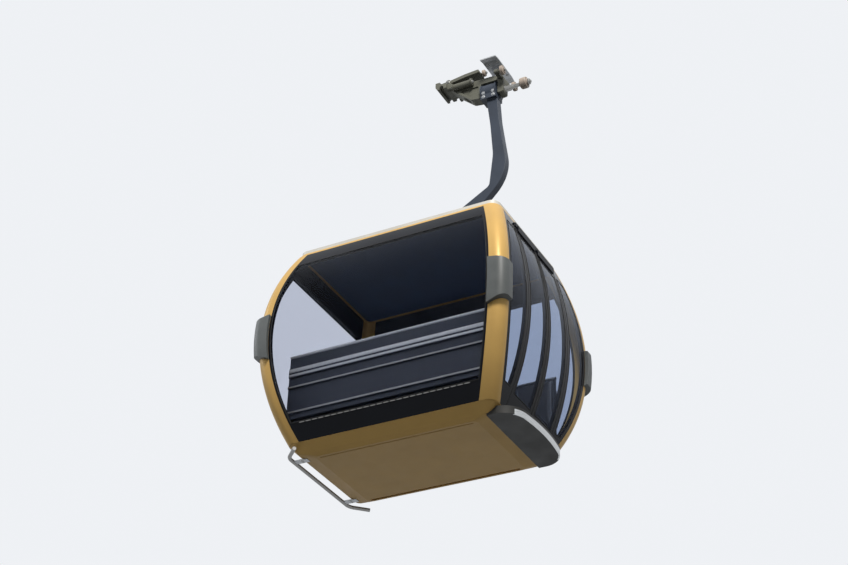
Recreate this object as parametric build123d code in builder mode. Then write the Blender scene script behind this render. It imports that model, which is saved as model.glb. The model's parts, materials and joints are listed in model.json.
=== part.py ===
"""Ten-seat cable car cabin with its hanger and rope grip, one STEP file for each piece.

Frame, in millimetres: the origin is on the rope's axis in the middle of the jaws,
X points outboard to the door side, Y runs along the rope and Z points up.
"""

import os
from math import sqrt

from build123d import *

# Cabin under the rope: its middle plane and the flat underside of its floor pan
CABIN_X = -150.0
CABIN_Z = -4460.0

# Outer half widths (X) and half lengths (Y) of the cabin at heights above the underside
PAN_X, PAN_Y = 860.0, 530.0
SILL_X, SILL_Y, SILL_Z = 1020.0, 575.0, 30.0
KNEE_X, KNEE_Y, KNEE_Z = 1105.0, 674.0, 110.0
WAIST_X, WAIST_Y, WAIST_Z = 1346.0, 995.0, 1150.0
EAVE_X, EAVE_Y, EAVE_Z = 1132.0, 716.0, 2265.0

# Walls
WALL = 45.0
GLASS = 10.0
SEAM = 1.0
PANE_GAP = 0.5
HEAD_Z = 2232.0
CORNER_R = 110.0
POST_FACE_X = 150.0
POST_FACE_Y = 130.0

# End windows and side window, as margins inside their panels
END_MARGIN, END_GLASS_LOW, END_GLASS_DROP = 24.0, 275.0, 172.0
SIDE_MARGIN, SIDE_GLASS_LOW, SIDE_GLASS_DROP = 40.0, 300.0, 182.0
END_GLASS_HIGH = HEAD_Z - END_GLASS_DROP
SIDE_GLASS_HIGH = HEAD_Z - SIDE_GLASS_DROP

# Doorway
DOOR_HALF = 445.0
DOOR_LOW, DOOR_HIGH = 125.0, 2110.0
DOOR_SEAM = 3.0
DOOR_STILE = 42.0
DOOR_RAIL_LOW, DOOR_RAIL_HIGH = 150.0, 90.0
PORTAL_STILE = 45.0
RAIL_HALF = 440.0
RAIL_DEEP, RAIL_TALL, RAIL_ROOT = 20.0, 40.0, 20.0
RAIL_Z = DOOR_HIGH + RAIL_TALL
CARRIER_W, CARRIER_DEEP, CARRIER_TALL = 380.0, 14.0, 60.0
CARRIER_LOW = RAIL_Z - RAIL_TALL / 2 - CARRIER_TALL

# Post bumpers
BUMPER_T, BUMPER_R = 36.0, 95.0
BUMPER_LOW, BUMPER_HIGH = 900.0, 1420.0
BUMPER_SLANT_LOW, BUMPER_SLANT_HIGH = 90.0, 50.0
BUMPER_LAP = 60.0

# Floor
DECK_T = 30.0
DECK_TOP = 110.0
PAN_RIM = 45.0
PAN_CORNER_R = 60.0
GROOVE_HALF_X = 815.0

# Grooves in the pan's underside: their middle line (Y), width and depth
GROOVES = (
    (497.0, 26.0, 14.0),
    (-497.0, 12.0, 5.0),
)

# Roof
RIM_T = 62.0
ROOF_SHEET = 40.0
CROWN = 85.0
ROOF_SEAT = 12.0
CEILING_T = 15.0

# Door step: outer edge as half lengths (Y) at distances from the middle plane (X)
STEP_IN_X, STEP_MID_X, STEP_SHOULDER_X, STEP_OUT_X = 1075.0, 1205.0, 1283.0, 1310.0
STEP_IN_Y, STEP_MID_Y, STEP_SHOULDER_Y = 566.0, 505.0, 350.0
STEP_ROOT = 40.0
STEP_LOW, STEP_T = 6.0, 80.0
STEP_EDGE_T, STEP_EDGE_TALL, STEP_EDGE_HALF = 14.0, 55.0, 485.0

# Guide tube on the side away from the doors
TUBE_R = 19.0
TUBE_Z = 20.0
TUBE_X = 1120.0
TUBE_HALF = 575.0
TUBE_END_X = 965.0
TUBE_END_Y = 725.0
TUBE_BEND_R = 120.0
BRACKET_Y = 470.0
BRACKET_W, BRACKET_T, BRACKET_ROOT = 60.0, 14.0, 60.0

# Benches
SEAT_Z, SEAT_T = 450.0, 60.0
SEAT_DEEP, SEAT_WIDE = 370.0, 432.0
SEAT_FRONT_Y = 285.0
SEAT_COUNT = 5
SEAT_PITCH = 438.0
BACK_LOW, BACK_TALL, BACK_T = 480.0, 550.0, 50.0
BACK_BOARD_T, BACK_RIB_T = 14.0, 12.0
BENCH_RAIL, BENCH_TOP_R = 40.0, 16.0
BENCH_LEG_X, BENCH_LEG_Y, BENCH_LEG_DEEP = 820.0, 160.0, 120.0
BENCH_INSET = 20.0
PAD_CORNER_R, PAD_EDGE_R = 40.0, 18.0
BACK_CORNER_R, BACK_EDGE_R = 50.0, 16.0

# Ribs across the back boards: middle height and how tall each is
BACK_RIBS = (
    (420.0, 30.0),
    (700.0, 26.0),
    (860.0, 100.0),
)

# Hanger and suspension
SHAFT_Z = -170.0
SHAFT_R = 38.0
RUN_GAP = 0.05
HEAD_X0, HEAD_X1 = 452.0, 634.0
HEAD_R = 96.0
HEAD_DROP = 120.0
HEAD_HALF_Y = 78.0
HEAD_COLLAR_R, HEAD_COLLAR_T = 104.0, 16.0
ARM_HALF_Y = 42.0
BEAM_HALF_X, BEAM_W, BEAM_T = 520.0, 110.0, 60.0
CROSS_X, CROSS_HALF_Y = 460.0, 250.0
DAMPER_R, DAMPER_H = 46.0, 48.0
DAMPER_Y = 190.0
ROOF_RAIL_HALF, ROOF_RAIL_W, ROOF_RAIL_T, ROOF_RAIL_R = 660.0, 122.0, 162.0, 30.0
FOOT_Z = CABIN_Z + EAVE_Z + ROOF_RAIL_T + DAMPER_H + BEAM_T
ARM_FALL = SHAFT_Z - FOOT_Z
ARM_CHAMFER = 5.0

# Grip
ROPE_R = 25.0
JAW_HALF_Y = 130.0
JAW_LOW, JAW_TOP = -15.0, 44.0
JAW_GAP, JAW_DEEP = 2.5, 60.0
GRIP_HALF_Y = 58.0
JAW_PIN_X, JAW_PIN_Z, JAW_PIN_R = 62.0, 82.0, 15.0
JAW_HUB_R, JAW_HUB_HALF_Y = 29.0, 68.0
EAR_T = 22.0
EAR_GAP = 6.0
EAR_ROOT_Z, EAR_ROOT_LAP = 20.0, 20.0
EAR_BLOCK_X, EAR_BLOCK_Z, EAR_BLOCK_W, EAR_BLOCK_TALL = 85.0, 8.0, 50.0, 46.0
CHEEK_IN_X, CHEEK_OUT_X = 444.0, 642.0
CHEEK_W = 66.0
ROD_R, ROD_ROOT_R, ROD_TAPER = 21.0, 36.0, 110.0
ROD_COLLAR_R, ROD_COLLAR_T, ROLLER_PLAY = 32.0, 14.0, 5.0
GUIDE_ROLLER_R, GUIDE_ROLLER_X, GUIDE_ROLLER_W = 62.0, 884.0, 92.0
TRACK_ROLLER_R, TRACK_ROLLER_W, TRACK_PIN_R = 52.0, 44.0, 14.0
ROLLER_BEAM_X, ROLLER_BEAM_T, ROLLER_BEAM_W = 14.0, 44.0, 50.0
ROLLER_BEAM_END, ROLLER_BEAM_R, TRACK_PIN_ROOT = 30.0, 20.0, 16.0
TRACK_ROLLER_X, TRACK_ROLLER_Y, TRACK_ROLLER_Z = 722.0, 150.0, -40.0
COUPLING_R, COUPLING_W, COUPLING_PIN_R = 38.0, 36.0, 12.0
PIN_END = 10.0
COUPLING_X, COUPLING_Z = 452.0, 138.0
SPRING_R, SPRING_X0, SPRING_X1, SPRING_Z = 34.0, 120.0, 360.0, -20.0
SPRING_CAP_R, SPRING_CAP_T, SPRING_WEB = 40.0, 16.0, 40.0
PLATE_X0, PLATE_X1, PLATE_HALF_Y = 520.0, 700.0, 240.0
PLATE_Z, PLATE_T = 120.0, 14.0
PLATE_FLAT_HALF, PLATE_RAMP = 175.0, 16.0
PLATE_STEM_X, PLATE_STEM_Y, PLATE_STEM_LOW = 90.0, 80.0, -20.0

REACH = 3000.0


def circle_through(low, middle, high):
    """Centre and radius, in (half size, height), of the arc through three points."""
    (ax, ay), (bx, by), (cx, cy) = low, middle, high
    d = 2.0 * (ax * (by - cy) + bx * (cy - ay) + cx * (ay - by))
    a2, b2, c2 = ax * ax + ay * ay, bx * bx + by * by, cx * cx + cy * cy
    ux = (a2 * (by - cy) + b2 * (cy - ay) + c2 * (ay - by)) / d
    uy = (a2 * (cx - bx) + b2 * (ax - cx) + c2 * (bx - ax)) / d
    return ux, uy, sqrt((ax - ux) ** 2 + (ay - uy) ** 2)


WIDTH_ARC = circle_through((KNEE_X, KNEE_Z), (WAIST_X, WAIST_Z), (EAVE_X, EAVE_Z))
LENGTH_ARC = circle_through((KNEE_Y, KNEE_Z), (WAIST_Y, WAIST_Z), (EAVE_Y, EAVE_Z))


def half_at(arc, height, shift=0.0, inset=0.0):
    """Half size of the barrel at a height, moved in level by shift or square by inset."""
    centre, level, radius = arc
    return centre - shift + sqrt((radius - inset) ** 2 - (height - level) ** 2)


FRONT_VIEW = Plane((CABIN_X, 0, CABIN_Z), x_dir=(1, 0, 0), z_dir=(0, -1, 0))
SIDE_VIEW = Plane((CABIN_X, 0, CABIN_Z), x_dir=(0, 1, 0), z_dir=(1, 0, 0))
MIDDLE_X = Plane((CABIN_X, 0, 0), x_dir=(0, 1, 0), z_dir=(1, 0, 0))
MIDDLE_Y = Plane((CABIN_X, 0, 0), x_dir=(1, 0, 0), z_dir=(0, 1, 0))
ACROSS_ROPE = Plane.XZ


def level(height):
    """The cabin's plan plane at a height above its underside."""
    return Plane((CABIN_X, 0, CABIN_Z + height))


def barrel(view, arc, low, high, shift=0.0, inset=0.0):
    """Barrel-sided outline between two heights, drawn in one of the cabin's two views."""
    middle = (low + high) / 2
    at_low = half_at(arc, low, shift, inset)
    at_middle = half_at(arc, middle, shift, inset)
    at_high = half_at(arc, high, shift, inset)
    with BuildSketch(view) as outline:
        with BuildLine():
            ThreePointArc((at_low, low), (at_middle, middle), (at_high, high))
            Line((at_high, high), (-at_high, high))
            ThreePointArc((-at_high, high), (-at_middle, middle), (-at_low, low))
            Line((-at_low, low), (at_low, low))
        make_face()
    return outline.sketch


def end_plates(margin, low, high, outer=0.0, inner=WALL):
    """The two curved end walls, as wide as the barrel less a margin at each post."""
    with BuildPart() as plates:
        extrude(barrel(SIDE_VIEW, LENGTH_ARC, low, high, inset=outer), REACH, both=True)
        extrude(
            barrel(SIDE_VIEW, LENGTH_ARC, low - WALL, high + WALL, inset=inner),
            REACH,
            both=True,
            mode=Mode.SUBTRACT,
        )
        extrude(
            barrel(FRONT_VIEW, WIDTH_ARC, low - WALL, high + WALL, shift=margin),
            REACH,
            both=True,
            mode=Mode.INTERSECT,
        )
    return plates.part


def side_plates(margin, low, high, outer=0.0, inner=WALL):
    """The two curved side walls, as long as the barrel less a margin at each post."""
    with BuildPart() as plates:
        extrude(barrel(FRONT_VIEW, WIDTH_ARC, low, high, inset=outer), REACH, both=True)
        extrude(
            barrel(FRONT_VIEW, WIDTH_ARC, low - WALL, high + WALL, inset=inner),
            REACH,
            both=True,
            mode=Mode.SUBTRACT,
        )
        extrude(
            barrel(SIDE_VIEW, LENGTH_ARC, low - WALL, high + WALL, shift=margin),
            REACH,
            both=True,
            mode=Mode.INTERSECT,
        )
    return plates.part


pieces = {}

# Cabin: corner posts and their bumpers


def rounded_form(low, high, corner_radius, inset=0.0):
    """The whole cabin between two heights, its four corners rounded, grown or pulled in."""
    with BuildPart() as form:
        extrude(barrel(FRONT_VIEW, WIDTH_ARC, low, high, inset=inset), REACH, both=True)
        extrude(
            barrel(SIDE_VIEW, LENGTH_ARC, low, high, inset=inset),
            REACH,
            both=True,
            mode=Mode.INTERSECT,
        )
        lengthwise = form.edges().filter_by(
            lambda edge: abs(edge.position_at(0).Z - edge.position_at(1).Z) > 0.9 * (high - low)
        )
        fillet(lengthwise, corner_radius)
    return form.part


def corner_of(form):
    """The far corner on the door side of a rounded form, cut to the post's two faces."""
    with BuildPart() as corner_piece:
        add(form)
        extrude(
            barrel(FRONT_VIEW, WIDTH_ARC, 0, EAVE_Z, shift=POST_FACE_X),
            REACH,
            both=True,
            mode=Mode.SUBTRACT,
        )
        extrude(
            barrel(SIDE_VIEW, LENGTH_ARC, 0, EAVE_Z, shift=POST_FACE_Y),
            REACH,
            both=True,
            mode=Mode.SUBTRACT,
        )
        split(bisect_by=MIDDLE_X, keep=Keep.TOP)
        split(bisect_by=MIDDLE_Y, keep=Keep.TOP)
    return corner_piece.part


post_solid = corner_of(rounded_form(KNEE_Z, HEAD_Z, CORNER_R))
cabin_hollow = rounded_form(0, EAVE_Z, CORNER_R - WALL, inset=WALL)

with BuildPart() as bumper_blank:
    add(corner_of(rounded_form(BUMPER_LOW, BUMPER_HIGH, BUMPER_R, inset=-BUMPER_T)))
    with BuildSketch(FRONT_VIEW):
        with BuildLine():
            Polyline(
                (WAIST_X - POST_FACE_X - BUMPER_LAP, BUMPER_LOW),
                (WAIST_X + BUMPER_T, BUMPER_LOW + BUMPER_SLANT_LOW),
                (WAIST_X + BUMPER_T, BUMPER_HIGH - BUMPER_SLANT_HIGH),
                (WAIST_X - POST_FACE_X - BUMPER_LAP, BUMPER_HIGH),
                close=True,
            )
        make_face()
    extrude(amount=REACH, both=True, mode=Mode.INTERSECT)

# Corner name, then whether it is mirrored to the other side and to the near end
CORNERS = (
    ("door_far", False, False),
    ("door_near", False, True),
    ("back_far", True, False),
    ("back_near", True, True),
)

for corner, to_back, to_near in CORNERS:
    with BuildPart() as post:
        add(post_solid)
        add(cabin_hollow, mode=Mode.SUBTRACT)
        if to_back:
            mirror(about=MIDDLE_X, mode=Mode.REPLACE)
        if to_near:
            mirror(about=MIDDLE_Y, mode=Mode.REPLACE)
    pieces[f"post_{corner}"] = post

with BuildPart() as bumpers:
    add(bumper_blank.part)
    add(post_solid, mode=Mode.SUBTRACT)
    mirror(about=MIDDLE_X)
    mirror(about=MIDDLE_Y)
pieces["bumpers"] = bumpers

# Cabin: end walls and their windows

with BuildPart() as end_panels:
    add(end_plates(POST_FACE_X + SEAM, KNEE_Z, HEAD_Z))
    add(
        end_plates(
            POST_FACE_X + END_MARGIN,
            END_GLASS_LOW,
            END_GLASS_HIGH,
            outer=-WALL,
            inner=2 * WALL,
        ),
        mode=Mode.SUBTRACT,
    )

with BuildPart() as end_panes:
    add(
        end_plates(
            POST_FACE_X + END_MARGIN + PANE_GAP,
            END_GLASS_LOW + PANE_GAP,
            END_GLASS_HIGH - PANE_GAP,
            inner=GLASS,
        )
    )

for end, keep in (("near", Keep.BOTTOM), ("far", Keep.TOP)):
    with BuildPart() as end_panel:
        add(end_panels.part)
        split(bisect_by=MIDDLE_Y, keep=keep)
    pieces[f"end_panel_{end}"] = end_panel
    with BuildPart() as end_pane:
        add(end_panes.part)
        split(bisect_by=MIDDLE_Y, keep=keep)
    pieces[f"end_glass_{end}"] = end_pane

# Cabin: side wall away from the doors

with BuildPart() as back_panel:
    add(side_plates(POST_FACE_Y + SEAM, KNEE_Z, HEAD_Z))
    add(
        side_plates(
            POST_FACE_Y + SIDE_MARGIN,
            SIDE_GLASS_LOW,
            SIDE_GLASS_HIGH,
            outer=-WALL,
            inner=2 * WALL,
        ),
        mode=Mode.SUBTRACT,
    )
    split(bisect_by=MIDDLE_X, keep=Keep.BOTTOM)
pieces["back_panel"] = back_panel

with BuildPart() as back_glass:
    add(
        side_plates(
            POST_FACE_Y + SIDE_MARGIN + PANE_GAP,
            SIDE_GLASS_LOW + PANE_GAP,
            SIDE_GLASS_HIGH - PANE_GAP,
            inner=GLASS,
        )
    )
    split(bisect_by=MIDDLE_X, keep=Keep.BOTTOM)
pieces["back_glass"] = back_glass

# Cabin: door portal, its two fixed panes and the two door leaves

with BuildPart() as fixed_lights:
    add(
        side_plates(
            POST_FACE_Y + SIDE_MARGIN,
            SIDE_GLASS_LOW,
            SIDE_GLASS_HIGH,
            outer=-WALL,
            inner=2 * WALL,
        )
    )
    with BuildSketch(SIDE_VIEW):
        with Locations((0, EAVE_Z / 2)):
            Rectangle(2 * (DOOR_HALF + PORTAL_STILE), EAVE_Z)
    extrude(amount=REACH, both=True, mode=Mode.SUBTRACT)

with BuildPart() as portal:
    add(side_plates(POST_FACE_Y + SEAM, KNEE_Z, HEAD_Z))
    add(fixed_lights.part, mode=Mode.SUBTRACT)
    with BuildSketch(SIDE_VIEW):
        with Locations((0, (DOOR_LOW + DOOR_HIGH) / 2)):
            Rectangle(2 * DOOR_HALF, DOOR_HIGH - DOOR_LOW)
    extrude(amount=REACH, both=True, mode=Mode.SUBTRACT)
    split(bisect_by=MIDDLE_X, keep=Keep.TOP)
pieces["door_portal"] = portal

with BuildPart() as portal_glass:
    add(
        side_plates(
            POST_FACE_Y + SIDE_MARGIN + PANE_GAP,
            SIDE_GLASS_LOW + PANE_GAP,
            SIDE_GLASS_HIGH - PANE_GAP,
            inner=GLASS,
        )
    )
    with BuildSketch(SIDE_VIEW):
        with Locations((0, EAVE_Z / 2)):
            Rectangle(2 * (DOOR_HALF + PORTAL_STILE + PANE_GAP), EAVE_Z)
    extrude(amount=REACH, both=True, mode=Mode.SUBTRACT)
    split(bisect_by=MIDDLE_X, keep=Keep.TOP)
pieces["portal_glass"] = portal_glass

LEAF_IN, LEAF_OUT = DOOR_SEAM / 2, DOOR_HALF - DOOR_SEAM
LEAF_LOW, LEAF_HIGH = DOOR_LOW + DOOR_SEAM, DOOR_HIGH - DOOR_SEAM

for leaf_name, to_near in (("far", False), ("near", True)):
    with BuildPart() as leaf:
        add(side_plates(0, LEAF_LOW, LEAF_HIGH))
        with BuildSketch(SIDE_VIEW):
            with Locations(((LEAF_IN + LEAF_OUT) / 2, (LEAF_LOW + LEAF_HIGH) / 2)):
                Rectangle(LEAF_OUT - LEAF_IN, 2 * LEAF_HIGH)
        extrude(amount=REACH, both=True, mode=Mode.INTERSECT)
        with BuildSketch(SIDE_VIEW):
            with Locations(
                (
                    (LEAF_IN + LEAF_OUT) / 2,
                    (LEAF_LOW + DOOR_RAIL_LOW + LEAF_HIGH - DOOR_RAIL_HIGH) / 2,
                )
            ):
                Rectangle(
                    LEAF_OUT - LEAF_IN - 2 * DOOR_STILE,
                    LEAF_HIGH - LEAF_LOW - DOOR_RAIL_LOW - DOOR_RAIL_HIGH,
                )
        extrude(amount=REACH, both=True, mode=Mode.SUBTRACT)
        split(bisect_by=MIDDLE_X, keep=Keep.TOP)
        with BuildSketch(level(CARRIER_LOW)):
            with Locations((half_at(WIDTH_ARC, CARRIER_LOW), DOOR_HALF / 2)):
                Rectangle(2 * CARRIER_DEEP, CARRIER_W)
        extrude(amount=CARRIER_TALL)
        add(cabin_hollow, mode=Mode.SUBTRACT)
        if to_near:
            mirror(about=MIDDLE_Y, mode=Mode.REPLACE)
    pieces[f"door_leaf_{leaf_name}"] = leaf
    with BuildPart() as leaf_glass:
        add(
            side_plates(
                0,
                LEAF_LOW + DOOR_RAIL_LOW + PANE_GAP,
                LEAF_HIGH - DOOR_RAIL_HIGH - PANE_GAP,
                inner=GLASS,
            )
        )
        with BuildSketch(SIDE_VIEW):
            with Locations(((LEAF_IN + LEAF_OUT) / 2, EAVE_Z / 2)):
                Rectangle(LEAF_OUT - LEAF_IN - 2 * (DOOR_STILE + PANE_GAP), EAVE_Z)
        extrude(amount=REACH, both=True, mode=Mode.INTERSECT)
        split(bisect_by=MIDDLE_X, keep=Keep.TOP)
        if to_near:
            mirror(about=MIDDLE_Y, mode=Mode.REPLACE)
    pieces[f"door_glass_{leaf_name}"] = leaf_glass

with BuildPart() as door_rail:
    rail_x = half_at(WIDTH_ARC, RAIL_Z)
    with BuildSketch(level(RAIL_Z - RAIL_TALL / 2)):
        with Locations((rail_x + RAIL_DEEP / 2 - RAIL_ROOT, 0)):
            RectangleRounded(RAIL_DEEP + 2 * RAIL_ROOT, 2 * RAIL_HALF, RAIL_DEEP / 2)
    extrude(amount=RAIL_TALL)
    extrude(
        barrel(FRONT_VIEW, WIDTH_ARC, 0, EAVE_Z),
        REACH,
        both=True,
        mode=Mode.SUBTRACT,
    )
pieces["door_rail"] = door_rail

# Cabin: floor

with BuildPart() as deck_recess:
    with BuildSketch(level(DECK_TOP - DECK_T)):
        RectangleRounded(
            2 * (half_at(WIDTH_ARC, KNEE_Z) - PAN_RIM),
            2 * (KNEE_Y - PAN_RIM),
            CORNER_R - PAN_RIM,
        )
    extrude(amount=DECK_T)

with BuildPart() as floor_pan:
    with BuildSketch(level(0)):
        RectangleRounded(2 * PAN_X, 2 * PAN_Y, PAN_CORNER_R)
    with BuildSketch(level(SILL_Z)):
        RectangleRounded(2 * SILL_X, 2 * SILL_Y, PAN_CORNER_R)
    loft(ruled=True)
    with BuildSketch(level(SILL_Z)):
        RectangleRounded(2 * SILL_X, 2 * SILL_Y, PAN_CORNER_R)
    with BuildSketch(level(KNEE_Z)):
        RectangleRounded(2 * half_at(WIDTH_ARC, KNEE_Z), 2 * KNEE_Y, CORNER_R)
    loft(ruled=True)
    add(deck_recess.part, mode=Mode.SUBTRACT)
    for groove_y, groove_w, groove_d in GROOVES:
        with BuildSketch(level(0)):
            with Locations((0, groove_y)):
                Rectangle(2 * GROOVE_HALF_X, groove_w)
        extrude(amount=groove_d, mode=Mode.SUBTRACT)
pieces["floor_pan"] = floor_pan

with BuildPart() as floor_deck:
    with BuildSketch(level(DECK_TOP - DECK_T)):
        RectangleRounded(
            2 * (half_at(WIDTH_ARC, KNEE_Z) - PAN_RIM - PANE_GAP),
            2 * (KNEE_Y - PAN_RIM - PANE_GAP),
            CORNER_R - PAN_RIM,
        )
    extrude(amount=DECK_T)
pieces["floor_deck"] = floor_deck

def step_outline():
    """Door step seen from above: straight into the sill, bowed at its outer edge."""
    root_x = SILL_X - STEP_ROOT
    with BuildSketch(level(STEP_LOW)) as outline:
        with BuildLine():
            Line((root_x, -STEP_IN_Y), (STEP_IN_X, -STEP_IN_Y))
            ThreePointArc(
                (STEP_IN_X, -STEP_IN_Y),
                (STEP_MID_X, -STEP_MID_Y),
                (STEP_SHOULDER_X, -STEP_SHOULDER_Y),
            )
            ThreePointArc(
                (STEP_SHOULDER_X, -STEP_SHOULDER_Y),
                (STEP_OUT_X, 0),
                (STEP_SHOULDER_X, STEP_SHOULDER_Y),
            )
            ThreePointArc(
                (STEP_SHOULDER_X, STEP_SHOULDER_Y),
                (STEP_MID_X, STEP_MID_Y),
                (STEP_IN_X, STEP_IN_Y),
            )
            Polyline((STEP_IN_X, STEP_IN_Y), (root_x, STEP_IN_Y), (root_x, -STEP_IN_Y))
        make_face()
    return outline.sketch


with BuildPart() as step_core:
    extrude(offset(step_outline(), amount=-STEP_EDGE_T, mode=Mode.PRIVATE), STEP_T)

with BuildPart() as step_edge:
    extrude(step_outline(), STEP_EDGE_TALL)
    add(step_core.part, mode=Mode.SUBTRACT)
    split(bisect_by=MIDDLE_X.offset(STEP_IN_X), keep=Keep.TOP)
    split(bisect_by=MIDDLE_Y.offset(STEP_EDGE_HALF), keep=Keep.BOTTOM)
    split(bisect_by=MIDDLE_Y.offset(-STEP_EDGE_HALF), keep=Keep.TOP)
pieces["step_edge"] = step_edge

with BuildPart() as door_step:
    extrude(step_outline(), STEP_T)
    add(step_edge.part, mode=Mode.SUBTRACT)
    add(floor_pan.part, mode=Mode.SUBTRACT)
    add(deck_recess.part, mode=Mode.SUBTRACT)
pieces["door_step"] = door_step

# Cabin: roof

with BuildPart() as roof_rim:
    for height in (HEAD_Z, EAVE_Z):
        with BuildSketch(level(height)):
            RectangleRounded(
                2 * half_at(WIDTH_ARC, height), 2 * half_at(LENGTH_ARC, height), CORNER_R
            )
    loft(ruled=True)
    with BuildSketch(level(HEAD_Z)):
        RectangleRounded(2 * (EAVE_X - RIM_T), 2 * (EAVE_Y - RIM_T), CORNER_R - RIM_T)
    extrude(amount=EAVE_Z, mode=Mode.SUBTRACT)
pieces["roof_rim"] = roof_rim


def dome(half_x, half_y, lift, drop):
    """Crowned block on the eaves: half sizes, lift of its top and drop of its underside."""
    with BuildPart() as crowned:
        for view, half in ((FRONT_VIEW, half_x), (SIDE_VIEW, half_y)):
            with BuildSketch(view) as crown_outline:
                with BuildLine():
                    ThreePointArc(
                        (-half, EAVE_Z + lift), (0, EAVE_Z + CROWN + lift), (half, EAVE_Z + lift)
                    )
                    Polyline(
                        (half, EAVE_Z + lift),
                        (half, EAVE_Z - drop),
                        (-half, EAVE_Z - drop),
                        (-half, EAVE_Z + lift),
                    )
                make_face()
            extrude(
                crown_outline.sketch,
                REACH,
                both=True,
                mode=Mode.ADD if view is FRONT_VIEW else Mode.INTERSECT,
            )
    return crowned.part


roof_top = dome(EAVE_X, EAVE_Y, ROOF_SHEET, WALL)

with BuildPart() as roof_panel:
    add(roof_top)
    add(dome(EAVE_X - RIM_T, EAVE_Y - RIM_T, 0, 2 * WALL), mode=Mode.SUBTRACT)
    with BuildSketch(level(EAVE_Z)):
        RectangleRounded(
            2 * (EAVE_X - ROOF_SEAT), 2 * (EAVE_Y - ROOF_SEAT), CORNER_R - ROOF_SEAT
        )
    extrude(amount=2 * CROWN + ROOF_SHEET, mode=Mode.INTERSECT)
pieces["roof_panel"] = roof_panel

with BuildPart() as ceiling:
    with BuildSketch(level(HEAD_Z + SEAM)):
        RectangleRounded(
            2 * (EAVE_X - RIM_T - PANE_GAP),
            2 * (EAVE_Y - RIM_T - PANE_GAP),
            CORNER_R - RIM_T,
        )
    extrude(amount=CEILING_T)
pieces["ceiling"] = ceiling

# Cabin: guide tube beside the floor

with BuildPart() as guide_tube:
    with BuildLine(level(TUBE_Z)) as tube_path:
        FilletPolyline(
            (-TUBE_END_X, -TUBE_END_Y),
            (-TUBE_X, -TUBE_HALF),
            (-TUBE_X, TUBE_HALF),
            (-TUBE_END_X, TUBE_END_Y),
            radius=TUBE_BEND_R,
        )
    with BuildSketch(Plane(origin=tube_path.line @ 0, z_dir=tube_path.line % 0)):
        Circle(TUBE_R)
    sweep()
pieces["guide_tube"] = guide_tube

with BuildPart() as tube_brackets:
    with BuildSketch(level(TUBE_Z - BRACKET_T / 2)):
        with Locations((-(SILL_X - BRACKET_ROOT + TUBE_X) / 2, 0)):
            with GridLocations(1, 2 * BRACKET_Y, 1, 2):
                Rectangle(TUBE_X - SILL_X + BRACKET_ROOT, BRACKET_W)
    extrude(amount=BRACKET_T)
    add(floor_pan.part, mode=Mode.SUBTRACT)
    add(guide_tube.part, mode=Mode.SUBTRACT)
pieces["tube_brackets"] = tube_brackets

# Cabin: benches

BACK_Y = SEAT_FRONT_Y + SEAT_DEEP
BENCH_TOP_Z = CABIN_Z + BACK_LOW + BACK_TALL + BENCH_TOP_R

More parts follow.
